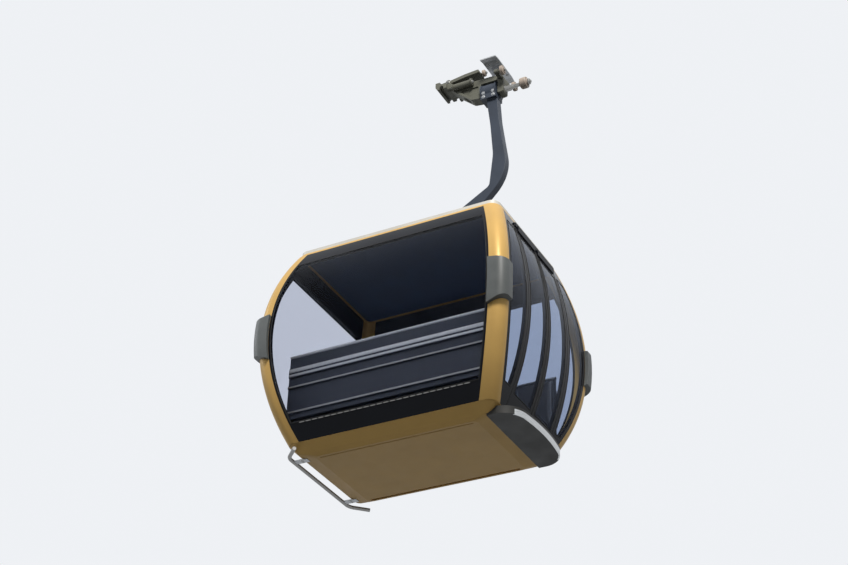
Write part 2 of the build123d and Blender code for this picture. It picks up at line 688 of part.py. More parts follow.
for end, to_near in (("far", False), ("near", True)):
    with BuildPart() as bench_frame:
        with BuildSketch(level(SEAT_Z - SEAT_T - BENCH_RAIL)):
            with Locations((0, SEAT_FRONT_Y + SEAT_DEEP / 2)):
                Rectangle(SEAT_COUNT * SEAT_PITCH, SEAT_DEEP - BENCH_INSET)
        extrude(amount=BENCH_RAIL)
        with BuildSketch(level(DECK_TOP)):
            with Locations((0, SEAT_FRONT_Y + BENCH_LEG_Y)):
                with GridLocations(2 * BENCH_LEG_X, 1, 2, 1):
                    Rectangle(BENCH_RAIL, BENCH_LEG_DEEP)
        extrude(amount=SEAT_Z - SEAT_T - BENCH_RAIL - DECK_TOP)
        with BuildSketch(level(SEAT_Z - SEAT_T)):
            with Locations((0, BACK_Y + BACK_T + BACK_BOARD_T / 2)):
                Rectangle(SEAT_COUNT * SEAT_PITCH, BACK_BOARD_T)
        extrude(amount=BACK_LOW + BACK_TALL + BENCH_TOP_R - SEAT_Z + SEAT_T)
        for rib_z, rib_tall in BACK_RIBS:
            with BuildSketch(level(rib_z - rib_tall / 2)):
                with Locations((0, BACK_Y + BACK_T + BACK_BOARD_T + BACK_RIB_T / 2)):
                    Rectangle(SEAT_COUNT * SEAT_PITCH, BACK_RIB_T)
            extrude(amount=rib_tall)
        with BuildSketch(MIDDLE_X):
            with Locations((BACK_Y + BACK_T + BACK_BOARD_T / 2, BENCH_TOP_Z)):
                Circle(BENCH_TOP_R)
        extrude(amount=SEAT_COUNT * SEAT_PITCH / 2, both=True)
        with BuildSketch(level(SEAT_Z - SEAT_T - BENCH_RAIL)):
            with Locations((0, BACK_Y + (BACK_T + BACK_BOARD_T - BENCH_INSET) / 2)):
                Rectangle(SEAT_COUNT * SEAT_PITCH, BACK_T + BACK_BOARD_T + BENCH_INSET)
        extrude(amount=BENCH_RAIL)
        if to_near:
            mirror(about=MIDDLE_Y, mode=Mode.REPLACE)
    pieces[f"bench_frame_{end}"] = bench_frame
    with BuildPart() as seat_pads:
        with BuildSketch(level(SEAT_Z - SEAT_T)):
            with Locations((0, SEAT_FRONT_Y + SEAT_DEEP / 2)):
                with GridLocations(SEAT_PITCH, 1, SEAT_COUNT, 1):
                    RectangleRounded(SEAT_WIDE, SEAT_DEEP, PAD_CORNER_R)
        extrude(amount=SEAT_T)
        fillet(seat_pads.edges().group_by(Axis.Z)[-1], PAD_EDGE_R)
        if to_near:
            mirror(about=MIDDLE_Y, mode=Mode.REPLACE)
    pieces[f"seat_pads_{end}"] = seat_pads
    with BuildPart() as backrests:
        with BuildSketch(Plane((CABIN_X, BACK_Y, CABIN_Z), x_dir=(1, 0, 0), z_dir=(0, -1, 0))):
            with Locations((0, BACK_LOW + BACK_TALL / 2)):
                with GridLocations(SEAT_PITCH, 1, SEAT_COUNT, 1):
                    RectangleRounded(SEAT_WIDE, BACK_TALL, BACK_CORNER_R)
        extrude(amount=-BACK_T)
        fillet(backrests.edges().group_by(Axis.Y)[0], BACK_EDGE_R)
        if to_near:
            mirror(about=MIDDLE_Y, mode=Mode.REPLACE)
    pieces[f"backrests_{end}"] = backrests

# Suspension between hanger and roof

with BuildPart() as suspension_frame:
    with BuildSketch(Plane((CABIN_X, 0, FOOT_Z - BEAM_T))):
        Rectangle(2 * BEAM_HALF_X, BEAM_W)
        with Locations((CROSS_X, 0), (-CROSS_X, 0)):
            RectangleRounded(BEAM_W, 2 * CROSS_HALF_Y, BEAM_W / 3)
    extrude(amount=BEAM_T)
pieces["suspension_frame"] = suspension_frame

DAMPER_TOP = FOOT_Z - BEAM_T

with BuildPart() as dampers:
    with BuildSketch(Plane((CABIN_X, 0, DAMPER_TOP - DAMPER_H))):
        with GridLocations(2 * CROSS_X, 2 * DAMPER_Y, 2, 2):
            Circle(DAMPER_R)
    extrude(amount=DAMPER_H)
pieces["dampers"] = dampers

RAIL_TOP = DAMPER_TOP - DAMPER_H

with BuildPart() as roof_rails:
    with BuildSketch(Plane((CABIN_X, 0, RAIL_TOP))):
        with Locations((0, DAMPER_Y), (0, -DAMPER_Y)):
            RectangleRounded(2 * ROOF_RAIL_HALF, ROOF_RAIL_W, ROOF_RAIL_R)
    extrude(amount=-(RAIL_TOP - CABIN_Z - EAVE_Z))
    add(roof_top, mode=Mode.SUBTRACT)
pieces["roof_rails"] = roof_rails

# Hanger

# Arm outline seen along the rope: x, then the height and the corner's radius as shares of its fall
ARM_OUTLINE = (
    (634.0, HEAD_DROP / ARM_FALL, 0.008),
    (660.0, 0.245, 0.684),
    (771.0, 0.652, 0.285),
    (211.0, 1.0, 0.085),
    (CABIN_X - 130.0, 1.0, 0.008),
    (CABIN_X - 130.0, 0.949, 0.034),
    (-60.0, 0.928, 0.085),
    (552.0, 0.715, 0.04),
    (590.0, 0.49, 0.285),
    (553.0, 0.258, 0.855),
    (506.0, HEAD_DROP / ARM_FALL, 0.008),
)

with BuildPart() as hanger_arm:
    with BuildSketch(ACROSS_ROPE):
        with BuildLine():
            FilletPolyline(
                [(x, SHAFT_Z - share * ARM_FALL) for x, share, _ in ARM_OUTLINE],
                radius=[share * ARM_FALL for _, _, share in ARM_OUTLINE],
                close=True,
            )
        make_face()
    extrude(amount=ARM_HALF_Y, both=True)
    rims = hanger_arm.edges().group_by(Axis.Y)
    chamfer(rims[0] + rims[-1], ARM_CHAMFER)
pieces["hanger_arm"] = hanger_arm

with BuildPart() as hanger_head:
    with BuildSketch(Plane((HEAD_X0, 0, SHAFT_Z), x_dir=(0, 1, 0), z_dir=(1, 0, 0))):
        Circle(HEAD_R)
        with Locations((0, -HEAD_DROP / 2)):
            Rectangle(2 * HEAD_HALF_Y, HEAD_DROP)
        Circle(SHAFT_R + RUN_GAP, mode=Mode.SUBTRACT)
    extrude(amount=HEAD_X1 - HEAD_X0)
    for collar_x in (HEAD_X0, HEAD_X1 - HEAD_COLLAR_T):
        with BuildSketch(Plane((collar_x, 0, SHAFT_Z), x_dir=(0, 1, 0), z_dir=(1, 0, 0))):
            Circle(HEAD_COLLAR_R)
            Circle(SHAFT_R + RUN_GAP, mode=Mode.SUBTRACT)
        extrude(amount=HEAD_COLLAR_T)
pieces["hanger_head"] = hanger_head

# Grip

with BuildPart() as pivot_shaft:
    with BuildSketch(Plane((CHEEK_IN_X - CHEEK_W, 0, SHAFT_Z), x_dir=(0, 1, 0), z_dir=(1, 0, 0))):
        Circle(SHAFT_R)
    extrude(amount=CHEEK_OUT_X - CHEEK_IN_X + 2 * CHEEK_W)
pieces["pivot_shaft"] = pivot_shaft

# Body outline seen along the rope: x, z and the corner's radius
BODY_OUTLINE = (
    (30.0, JAW_LOW, 4.0),
    (96.0, JAW_LOW - 12.0, 30.0),
    (330.0, SHAFT_Z - 62.0, 60.0),
    (CHEEK_IN_X, SHAFT_Z - 78.0, 20.0),
    (CHEEK_IN_X, SHAFT_Z + HEAD_R + 14.0, 12.0),
    (CHEEK_OUT_X, SHAFT_Z + HEAD_R + 14.0, 12.0),
    (CHEEK_OUT_X, SHAFT_Z - 66.0, 12.0),
    (CHEEK_OUT_X + CHEEK_W, SHAFT_Z - 66.0, 20.0),
    (CHEEK_OUT_X + CHEEK_W, -20.0, 30.0),
    (560.0, 8.0, 40.0),
    (300.0, 12.0, 60.0),
    (120.0, 40.0, 30.0),
    (30.0, JAW_TOP, 6.0),
)

# Pocket in both faces of the body, below the spring housings
POCKET = (
    (185.0, -72.0),
    (414.0, -72.0),
    (414.0, SHAFT_Z - 44.0),
    (338.0, SHAFT_Z - 32.0),
)
POCKET_R, POCKET_D = 12.0, 14.0

with BuildPart() as grip_body:
    with BuildSketch(ACROSS_ROPE):
        with BuildLine():
            FilletPolyline(
                [(x, z) for x, z, _ in BODY_OUTLINE],
                radius=[radius for _, _, radius in BODY_OUTLINE],
                close=True,
            )
        make_face()
    extrude(amount=GRIP_HALF_Y, both=True)
    with BuildSketch(ACROSS_ROPE):
        with Locations(((JAW_GAP + JAW_DEEP) / 2, (JAW_LOW + JAW_TOP) / 2)):
            Rectangle(JAW_DEEP - JAW_GAP, JAW_TOP - JAW_LOW)
    extrude(amount=JAW_HALF_Y, both=True)
    with BuildSketch(ACROSS_ROPE):
        Circle(ROPE_R)
    extrude(amount=JAW_HALF_Y, both=True, mode=Mode.SUBTRACT)
    for face in (1, -1):
        with BuildSketch(ACROSS_ROPE.offset(face * (JAW_HUB_HALF_Y + EAR_GAP))):
            with Locations((JAW_PIN_X, JAW_PIN_Z)):
                Circle(JAW_HUB_R)
            with BuildLine():
                Polyline(
                    (JAW_PIN_X - JAW_HUB_R, JAW_PIN_Z),
                    (JAW_PIN_X - JAW_HUB_R, EAR_ROOT_Z),
                    (JAW_PIN_X + JAW_HUB_R + EAR_ROOT_LAP, 0),
                    (JAW_PIN_X + JAW_HUB_R, JAW_PIN_Z),
                    close=True,
                )
            make_face()
        extrude(amount=face * EAR_T)
    with BuildSketch(ACROSS_ROPE):
        with Locations((EAR_BLOCK_X, EAR_BLOCK_Z)):
            Rectangle(EAR_BLOCK_W, EAR_BLOCK_TALL)
    extrude(amount=JAW_HUB_HALF_Y + EAR_GAP + EAR_T, both=True)
    with BuildSketch(ACROSS_ROPE):
        with Locations((JAW_PIN_X, JAW_PIN_Z)):
            Circle(JAW_PIN_R)
    extrude(amount=JAW_HALF_Y, both=True, mode=Mode.SUBTRACT)
    with BuildSketch(Plane((0, 0, SHAFT_Z), x_dir=(0, 1, 0), z_dir=(1, 0, 0))):
        Circle(SHAFT_R)
    extrude(amount=REACH, mode=Mode.SUBTRACT)
    for face in (1, -1):
        with BuildSketch(ACROSS_ROPE.offset(face * (GRIP_HALF_Y - POCKET_D))):
            with BuildLine():
                FilletPolyline(*POCKET, radius=POCKET_R, close=True)
            make_face()
        extrude(amount=face * POCKET_D, mode=Mode.SUBTRACT)
pieces["grip_body"] = grip_body

with BuildPart() as jaw_pin:
    with BuildSketch(ACROSS_ROPE):
        with Locations((JAW_PIN_X, JAW_PIN_Z)):
            Circle(JAW_PIN_R)
    extrude(amount=JAW_HUB_HALF_Y + EAR_GAP + EAR_T, both=True)
pieces["jaw_pin"] = jaw_pin

# Lever outline seen along the rope: x, z and the corner's radius
LEVER_OUTLINE = (
    (-62.0, 52.0, 4.0),
    (40.0, 52.0, 6.0),
    (JAW_PIN_X + 40.0, JAW_PIN_Z, 20.0),
    (250.0, 104.0, 60.0),
    (420.0, COUPLING_Z - 20.0, 10.0),
    (420.0, COUPLING_Z + 20.0, 18.0),
    (250.0, 146.0, 60.0),
    (60.0, 118.0, 40.0),
    (-62.0, 108.0, 30.0),
)

# Moving jaw's hook seen along the rope: x and z
HOOK_OUTLINE = (
    (-JAW_GAP, JAW_LOW),
    (-50.0, JAW_LOW),
    (-72.0, 20.0),
    (-72.0, 80.0),
    (-20.0, 80.0),
    (-20.0, 40.0),
    (-JAW_GAP, 40.0),
)
PIN_ROOT_X = 400.0

with BuildPart() as moving_jaw:
    with BuildSketch(ACROSS_ROPE):
        with BuildLine():
            FilletPolyline(
                [(x, z) for x, z, _ in LEVER_OUTLINE],
                radius=[radius for _, _, radius in LEVER_OUTLINE],
                close=True,
            )
        make_face()
        with Locations((JAW_PIN_X, JAW_PIN_Z)):
            Circle(JAW_HUB_R)
    extrude(amount=JAW_HUB_HALF_Y, both=True)
    with BuildSketch(ACROSS_ROPE):
        with BuildLine():
            Polyline(*HOOK_OUTLINE, close=True)
        make_face()
    extrude(amount=JAW_HALF_Y, both=True)
    with BuildSketch(ACROSS_ROPE):
        Circle(ROPE_R)
    extrude(amount=JAW_HALF_Y, both=True, mode=Mode.SUBTRACT)
    with BuildSketch(ACROSS_ROPE):
        with Locations((JAW_PIN_X, JAW_PIN_Z)):
            Circle(JAW_PIN_R + RUN_GAP)
    extrude(amount=JAW_HALF_Y, both=True, mode=Mode.SUBTRACT)
    with BuildSketch(Plane((PIN_ROOT_X, 0, COUPLING_Z), x_dir=(0, 1, 0), z_dir=(1, 0, 0))):
        Circle(COUPLING_PIN_R)
    extrude(amount=COUPLING_X + COUPLING_W / 2 + PIN_END - PIN_ROOT_X)
pieces["moving_jaw"] = moving_jaw

# Half of a roller's section: share of its width and share of its radius
ROLLER_SECTION = (
    (0.0, 0.62),
    (0.12, 0.66),
    (0.12, 0.94),
    (0.2, 1.0),
    (0.8, 1.0),
    (0.88, 0.94),
    (0.88, 0.66),
    (1.0, 0.62),
)


def roller(x, y, z, radius, width, bore):
    """Grooved roller that turns about a line along X."""
    with BuildPart() as turned:
        with BuildSketch(Plane((x, y, z), x_dir=(1, 0, 0), z_dir=(0, -1, 0))):
            with BuildLine():
                Polyline(
                    (0, bore),
                    *[(width * across, radius * out) for across, out in ROLLER_SECTION],
                    (width, bore),
                    close=True,
                )
            make_face()
        revolve(axis=Axis((x, y, z), (1, 0, 0)))
    return turned


pieces["coupling_roller"] = roller(
    COUPLING_X - COUPLING_W / 2, 0, COUPLING_Z, COUPLING_R, COUPLING_W, COUPLING_PIN_R + RUN_GAP
)
pieces["guide_roller"] = roller(
    GUIDE_ROLLER_X, 0, SHAFT_Z, GUIDE_ROLLER_R, GUIDE_ROLLER_W, ROD_R + RUN_GAP
)
for end, sign in (("far", 1), ("near", -1)):
    pieces[f"track_roller_{end}"] = roller(
        TRACK_ROLLER_X,
        sign * TRACK_ROLLER_Y,
        TRACK_ROLLER_Z,
        TRACK_ROLLER_R,
        TRACK_ROLLER_W,
        TRACK_PIN_R + RUN_GAP,
    )

ROD_X = CHEEK_OUT_X + CHEEK_W
COLLAR_X = GUIDE_ROLLER_X + GUIDE_ROLLER_W + ROLLER_PLAY

with BuildPart() as guide_rod:
    with BuildSketch(Plane((ROD_X, 0, SHAFT_Z), x_dir=(1, 0, 0), z_dir=(0, -1, 0))):
        Polygon(
            (0, 0),
            (0, ROD_ROOT_R),
            (ROD_TAPER, ROD_R),
            (COLLAR_X - ROD_X, ROD_R),
            (COLLAR_X - ROD_X, ROD_COLLAR_R),
            (COLLAR_X - ROD_X + ROD_COLLAR_T, ROD_COLLAR_R),
            (COLLAR_X - ROD_X + ROD_COLLAR_T, 0),
            align=None,
        )
    revolve(axis=Axis((ROD_X, 0, SHAFT_Z), (1, 0, 0)))
pieces["guide_rod"] = guide_rod

with BuildPart() as roller_beam:
    beam_x = CHEEK_OUT_X + ROLLER_BEAM_X
    with BuildSketch(Plane((beam_x, 0, TRACK_ROLLER_Z), x_dir=(0, 1, 0), z_dir=(1, 0, 0))):
        RectangleRounded(
            2 * (TRACK_ROLLER_Y + ROLLER_BEAM_END), ROLLER_BEAM_W, ROLLER_BEAM_R
        )
        Rectangle(2 * GRIP_HALF_Y, 2 * ROLLER_BEAM_W, mode=Mode.SUBTRACT)
    extrude(amount=ROLLER_BEAM_T)
    pin_x = beam_x + TRACK_PIN_ROOT
    with BuildSketch(Plane((pin_x, 0, TRACK_ROLLER_Z), x_dir=(0, 1, 0), z_dir=(1, 0, 0))):
        with Locations((TRACK_ROLLER_Y, 0), (-TRACK_ROLLER_Y, 0)):
            Circle(TRACK_PIN_R)
    extrude(amount=TRACK_ROLLER_X + TRACK_ROLLER_W + PIN_END - pin_x)
pieces["roller_beam"] = roller_beam

with BuildPart() as spring_housings:
    with BuildSketch(Plane((SPRING_X0, 0, SPRING_Z), x_dir=(0, 1, 0), z_dir=(1, 0, 0))):
        with Locations((GRIP_HALF_Y + SPRING_R, 0), (-GRIP_HALF_Y - SPRING_R, 0)):
            Circle(SPRING_R)
        with Locations((GRIP_HALF_Y + SPRING_R / 2, 0), (-GRIP_HALF_Y - SPRING_R / 2, 0)):
            Rectangle(SPRING_R, SPRING_WEB)
    extrude(amount=SPRING_X1 - SPRING_X0)
    for cap_x in (SPRING_X0, SPRING_X1 - SPRING_CAP_T):
        with BuildSketch(Plane((cap_x, 0, SPRING_Z), x_dir=(0, 1, 0), z_dir=(1, 0, 0))):
            with Locations((GRIP_HALF_Y + SPRING_CAP_R, 0), (-GRIP_HALF_Y - SPRING_CAP_R, 0)):
                Circle(SPRING_CAP_R)
        extrude(amount=SPRING_CAP_T)
pieces["spring_housings"] = spring_housings

with BuildPart() as friction_plate:
    with BuildSketch(Plane((PLATE_X0, 0, PLATE_Z), x_dir=(0, 1, 0), z_dir=(1, 0, 0))):
        Polygon(
            (-PLATE_HALF_Y, -PLATE_RAMP),
            (-PLATE_FLAT_HALF, 0),
            (PLATE_FLAT_HALF, 0),
            (PLATE_HALF_Y, -PLATE_RAMP),
            (PLATE_HALF_Y, PLATE_T - PLATE_RAMP),
            (PLATE_FLAT_HALF, PLATE_T),
            (-PLATE_FLAT_HALF, PLATE_T),
            (-PLATE_HALF_Y, PLATE_T - PLATE_RAMP),
            align=None,
        )
    extrude(amount=PLATE_X1 - PLATE_X0)
    with BuildSketch(Plane(((PLATE_X0 + PLATE_X1) / 2, 0, PLATE_STEM_LOW))):
        Rectangle(PLATE_STEM_X, PLATE_STEM_Y)
    extrude(amount=PLATE_Z - PLATE_STEM_LOW)
    add(grip_body.part, mode=Mode.SUBTRACT)
pieces["friction_plate"] = friction_plate

os.makedirs("parts", exist_ok=True)
for node, piece in pieces.items():
    piece.part.label = node
    export_step(piece.part, f"parts/{node}.step")
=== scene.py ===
"""Looks of the ten-seat cable car cabin: finishes, cushions, seals, welds and fasteners.

Everything is in metres in the frame of the CAD model: the origin is on the rope's axis, X points
outboard to the door side, Y runs along the rope and Z points up.
"""

import json
import math

import bmesh
import bpy
from mathutils import Matrix, Vector
from mathutils.bvhtree import BVHTree


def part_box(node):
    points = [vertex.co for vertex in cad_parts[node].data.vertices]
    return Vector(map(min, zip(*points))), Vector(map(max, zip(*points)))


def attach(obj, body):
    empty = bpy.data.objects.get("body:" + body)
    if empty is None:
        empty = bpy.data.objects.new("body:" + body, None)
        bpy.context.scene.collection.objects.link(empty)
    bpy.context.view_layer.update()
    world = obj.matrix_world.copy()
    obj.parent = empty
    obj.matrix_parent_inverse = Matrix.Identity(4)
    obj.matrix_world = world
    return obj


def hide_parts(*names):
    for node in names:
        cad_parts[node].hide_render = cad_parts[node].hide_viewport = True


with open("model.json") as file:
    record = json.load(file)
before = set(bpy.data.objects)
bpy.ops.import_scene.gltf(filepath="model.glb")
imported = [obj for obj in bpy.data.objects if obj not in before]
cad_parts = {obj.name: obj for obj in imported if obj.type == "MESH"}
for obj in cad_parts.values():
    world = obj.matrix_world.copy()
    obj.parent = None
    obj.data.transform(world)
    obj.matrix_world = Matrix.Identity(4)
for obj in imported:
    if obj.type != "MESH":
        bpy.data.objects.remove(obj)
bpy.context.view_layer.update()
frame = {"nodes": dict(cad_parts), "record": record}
nodes = frame["nodes"]

# Camera: where the photo was taken from, and the point of the cabin in the picture's middle
EYE = Vector((7.155, -13.114, -12.246))
AIM = Vector((-0.19, 0.0, -2.39))
LEAN = math.radians(2.3)
LENS = 75.0
SENSOR_W = 36.0
CLIP_START, CLIP_END = 0.1, 1000.0

INBOARD, OUTBOARD = Vector((-1, 0, 0)), Vector((1, 0, 0))
NEARWARD, FARWARD = Vector((0, -1, 0)), Vector((0, 1, 0))
UP, DOWN = Vector((0, 0, 1)), Vector((0, 0, -1))

# Studio: the sky's strength, and the floor's shade and glow, where they are seen and where not
FLOOR_DROP = 0.10
FLOOR_Z = EYE.z - FLOOR_DROP
FLOOR_HALF = 400.0
FLOOR_ROUGHNESS = 0.9
BACKDROP = (0.86, 0.88, 0.91)
BOUNCE = (0.085, 0.085, 0.08)
SKY_LEVEL = 0.62
SHOWN_LEVEL = 1.0
FLOOR_SHADE = (0.36, 0.37, 0.38)
FLOOR_LIFT = 0.69
SHOWN = ("Is Camera Ray", "Is Glossy Ray", "Is Transmission Ray")

# Lamp, place, width, power and colour
LAMPS = (
    ("key", (7.0, -10.0, 8.0), 4.0, 3300.0, (1.0, 0.97, 0.92)),
    ("fill", (-10.0, -4.0, 2.0), 6.0, 450.0, (0.92, 0.96, 1.0)),
)

# Textures: scale in cells for each metre, detail and roughness of the noise, and the range
# that most of a noise lies in
NOISE_LOW, NOISE_HIGH, NOISE_ROUGH = 0.3, 0.7, 0.55
PATCH_SCALE, PATCH_DETAIL = 2.6, 4.0
DUST_SCALE, DUST_DETAIL, DUST_STRETCH = 9.0, 5.0, 0.45
FLAKE_SCALE, FLAKE_BASE = 900.0, 0.18
BRUSH_SCALE, BRUSH_DETAIL, BRUSH_ROUGH = 60.0, 4.0, 0.7
BLOOM_SCALE, BLOOM_DETAIL = 5.0, 5.0
PEEL_SCALE, GRAIN_SCALE, SEAT_GRAIN_SCALE = 300.0, 700.0, 500.0
FINE_DETAIL = 2.0
RIB_SCALE = 24.0

# Bumps: height in metres and strength, and the radius that edges are rounded by
PEEL_BUMP, PAINT_EDGE = (0.00012, 0.2), 0.004
BRUSH_BUMP, METAL_EDGE = (0.0004, 0.3), 0.002
GRAIN_BUMP, MOULDED_EDGE = (0.00015, 0.3), 0.003
RIB_BUMP = (0.003, 0.8)
EDGE_SAMPLES = 4

# Tones: (place in the texture, factor of the colour) stops
GOLD_TONES = ((0.2, 0.86), (0.42, 1.0), (0.75, 1.18))
METAL_TONES = ((0.3, 0.78), (0.5, 1.0), (0.7, 1.12))
MOULDED_TONES = ((0.4, 0.92), (0.75, 1.22))
DIRT_LOW, DIRT_HIGH, DIRT_LIGHT = 0.3, 0.72, 0.6

# Gloss: least and most share of a finish's roughness
PAINT_GLOSS = (0.9, 1.15)
METAL_GLOSS = (0.75, 1.3)
MOULDED_GLOSS = (0.85, 1.15)

PANE_INDEX = 1.1

# Building: how far a piece sinks into what it lies on, where rays start, and how finely
SINK = 0.002
RAY_START = 3.0
MERGE = 1e-5
CREASE = 35.0
FACING, MITRE_LIMIT = 0.5, 0.5
ARC_STEPS = 6
TURNED_SIDES = 24
STRIP_CHAMFER = 0.0012

# Seals and glazing beads
SEAL_W, SEAL_PROUD = 0.011, 0.004
LEAF_SEAL_W, LEAF_SEAL_PROUD = 0.007, 0.003
MEETING_SEAL_W, MEETING_SEAL_PROUD = 0.026, 0.006
MEETING_INSET, MEETING_STEPS, MEETING_START = 0.004, 24, 0.1
BEAD_TALL, BEAD_PROUD, BEAD_SEGMENTS = 0.009, 0.005, 26
BEAD_REACH, BEAD_START, BEAD_LONG = 0.78, 0.12, 0.76

# Cushions
CUSHION_SHRINK = 0.010
CUSHION_ROUND, CUSHION_ROUND_STEPS = 0.3, 3
CUSHION_VOXEL = 0.009
CUSHION_SWELL = 0.012
CUSHION_PRESSURE, CUSHION_FRAMES = 4.0, 20
CUSHION_CREASE = 70.0
PIPING_R, PIPING_SIDES = 0.004, 8
PIPING_CORNER_R, PIPING_CORNER_STEPS = 0.035, 6
PIPING_INSET, PIPING_HEIGHT = 0.008, 0.22

# Bench trim: strips on the back boards, and the rail along their top
STRIP_INSET, STRIP_PROUD = 0.006, 0.004
BENCH_RAIL_R, BENCH_RAIL_SLEEVE, BENCH_RAIL_GAP = 0.016, 0.0004, 0.007
BENCH_RAIL_INSET, BENCH_RAIL_CHAMFER, BENCH_RAIL_END = 0.001, 0.0015, 0.9

# Treads, and the bulge of the door step's edge that they follow
TREAD_HALF, TREAD_PROUD = 0.005, 0.004
TREAD_INSETS = (0.030, 0.055, 0.080)
TREAD_REACH, TREAD_STEPS, TREAD_FLAT = 0.40, 24, 0.002
STEP_HALF, STEP_BULGE = 0.566, 0.168

# Roof: seams, and screws whose dome is given as (radius, height) pairs
ROOF_SEAM_W, ROOF_SEAM_PROUD, ROOF_SEAM_CHAMFER = 0.022, 0.008, 0.003
ROOF_SEAM_X, ROOF_SEAM_INSET, ROOF_SEAM_STEPS = 0.80, 0.05, 20
ROOF_SCREW_INSET, ROOF_SCREWS_X, ROOF_SCREWS_Y = 0.035, 16, 10
ROOF_SCREW_SIDES = 12
ROOF_SCREW = ((0.007, -SINK), (0.007, 0.0015), (0.0055, 0.003), (0.003, 0.004))

# Welds
WELD_R, WELD_PITCH = 0.006, 0.010
WELD_RIPPLE, WELD_STEPS, WELD_SIDES = 0.16, 3, 7
FOOT_WELD_INSET, FOOT_WELD_END = 0.012, 0.20
FOOT_WELD_SIDE = 0.010
HEAD_WELD_FROM, HEAD_WELD_TO, HEAD_WELD_DROP = 0.520, 0.620, 0.001

# Hexagon head and its washer, as shares of the size across the head's corners
HEAD_PROFILE = ((0.5, 0.05), (0.5, 0.40), (0.46, 0.45), (0.30, 0.46))
HEAD_TURN = 0.3
WASHER_R, WASHER_EDGE = 0.78, 0.08
WASHER_TOP_R, WASHER_TOP = 0.74, 0.11

# Sizes across the corners of the bolts' heads, and where the bolts sit
DAMPER_BOLT, RAIL_BOLT, RAIL_BOLT_X = 0.036, 0.020, 0.085
SPRING_BOLT = 0.030
JAW_PIN_BOLT = 0.028
PLATE_BOLT, PLATE_BOLT_X, PLATE_BOLT_Y, PLATE_T = 0.020, 0.06, 0.12, 0.014
TRACK_BOLT, COUPLING_BOLT, GUIDE_BOLT = 0.022, 0.020, 0.034
SHAFT_NUT = ((0.032, -SINK), (0.032, 0.022), (0.027, 0.028))
HEAD_BOLT, HEAD_BOLT_INSET, HEAD_BOLT_TURN = 0.026, 0.034, 0.5
HEAD_BOLT_RISES = (0.030, 0.072)
BRACKET_BOLT, BRACKET_BOLT_X, BRACKET_BOLT_Y = 0.014, 0.075, 0.016


# Materials


def new_material(name, color, roughness, **sockets):
    """A material with its shader and one object-space coordinate node."""
    material = bpy.data.materials.new(name)
    material.use_nodes = True
    tree = material.node_tree
    shader = tree.nodes["Principled BSDF"]
    shader.inputs["Base Color"].default_value = (*color, 1.0)
    shader.inputs["Roughness"].default_value = roughness
    for socket, value in sockets.items():
        shader.inputs[socket.replace("_", " ")].default_value = value
    place = tree.nodes.new("ShaderNodeTexCoord")
    place.name = "place"
    return material


def add_node(material, kind, links=(), **values):
    """A node with its settings and the links into it, as (socket, source socket) pairs."""
    tree = material.node_tree
    node = tree.nodes.new(kind)
    for key, value in values.items():
        if key[0].isupper():
            node.inputs[key.replace("_", " ")].default_value = value
        else:
            setattr(node, key, value)
    for socket, source in links:
        tree.links.new(source, node.inputs[socket])
    return node


def shader_of(material):
    return material.node_tree.nodes["Principled BSDF"]


def place_of(material, stretch=(1.0, 1.0, 1.0)):
    """Object-space coordinates, stretched along the axes."""
    source = material.node_tree.nodes["place"].outputs["Object"]
    if stretch == (1.0, 1.0, 1.0):
        return source
    return add_node(material, "ShaderNodeMapping", [("Vector", source)], Scale=stretch).outputs[0]


def noise(material, scale, detail, roughness=NOISE_ROUGH, stretch=(1.0, 1.0, 1.0)):
    """Fractal noise from 0 to 1."""
    node = add_node(
        material,
        "ShaderNodeTexNoise",
        [("Vector", place_of(material, stretch))],
        Scale=scale,
        Detail=detail,
        Roughness=roughness,
    )
    return node.outputs["Fac"]


def connect(material, source, socket):
    material.node_tree.links.new(source, shader_of(material).inputs[socket])


def gloss(material, source, roughness, shares):
    """Roughness that varies with a noise between two shares of a plain one."""
    node = add_node(
        material,
        "ShaderNodeMapRange",
        [("Value", source)],
        From_Min=NOISE_LOW,
        From_Max=NOISE_HIGH,
        To_Min=roughness * shares[0],
        To_Max=roughness * shares[1],
    )
    connect(material, node.outputs[0], "Roughness")


def tones(material, source, color, stops):
    """Base colour that varies with a texture by (place, factor) stops."""
    node = add_node(material, "ShaderNodeValToRGB", [("Fac", source)])
    ramp = node.color_ramp
    while len(ramp.elements) < len(stops):
        ramp.elements.new(0.5)
    for element, (position, factor) in zip(ramp.elements, stops):
        element.position = position
        element.color = (*(min(1.0, c * factor) for c in color), 1.0)
    connect(material, node.outputs["Color"], "Base Color")


def bump(material, source, height_strength, edge=None):
    """Bump by (height in metres, strength), on edges rounded by a radius in metres."""
    height, strength = height_strength
    links = [("Height", source)]
    if edge is not None:
        rounded = add_node(material, "ShaderNodeBevel", samples=EDGE_SAMPLES, Radius=edge)
        links.append(("Normal", rounded.outputs[0]))
    node = add_node(material, "ShaderNodeBump", links, Strength=strength, Distance=height)
    connect(material, node.outputs[0], "Normal")


def sprayed(name, color, roughness, **sockets):
    """Sprayed coat of one colour: slight orange peel, and dust in its gloss."""
    material = new_material(name, color, roughness, **sockets)
    dust = noise(material, DUST_SCALE, DUST_DETAIL, stretch=(1.0, 1.0, DUST_STRETCH))
    gloss(material, dust, roughness, PAINT_GLOSS)
    bump(material, noise(material, PEEL_SCALE, FINE_DETAIL), PEEL_BUMP, PAINT_EDGE)
    return material


def painted(name, color, roughness, dirt=0.12, **sockets):
    """Sprayed paint with soft patches of dirt and wear."""
    material = sprayed(name, color, roughness, **sockets)
    patches = noise(material, PATCH_SCALE, PATCH_DETAIL)
    stops = ((DIRT_LOW, 1.0 - dirt), (0.5, 1.0), (DIRT_HIGH, 1.0 + dirt * DIRT_LIGHT))
    tones(material, patches, color, stops)
    return material


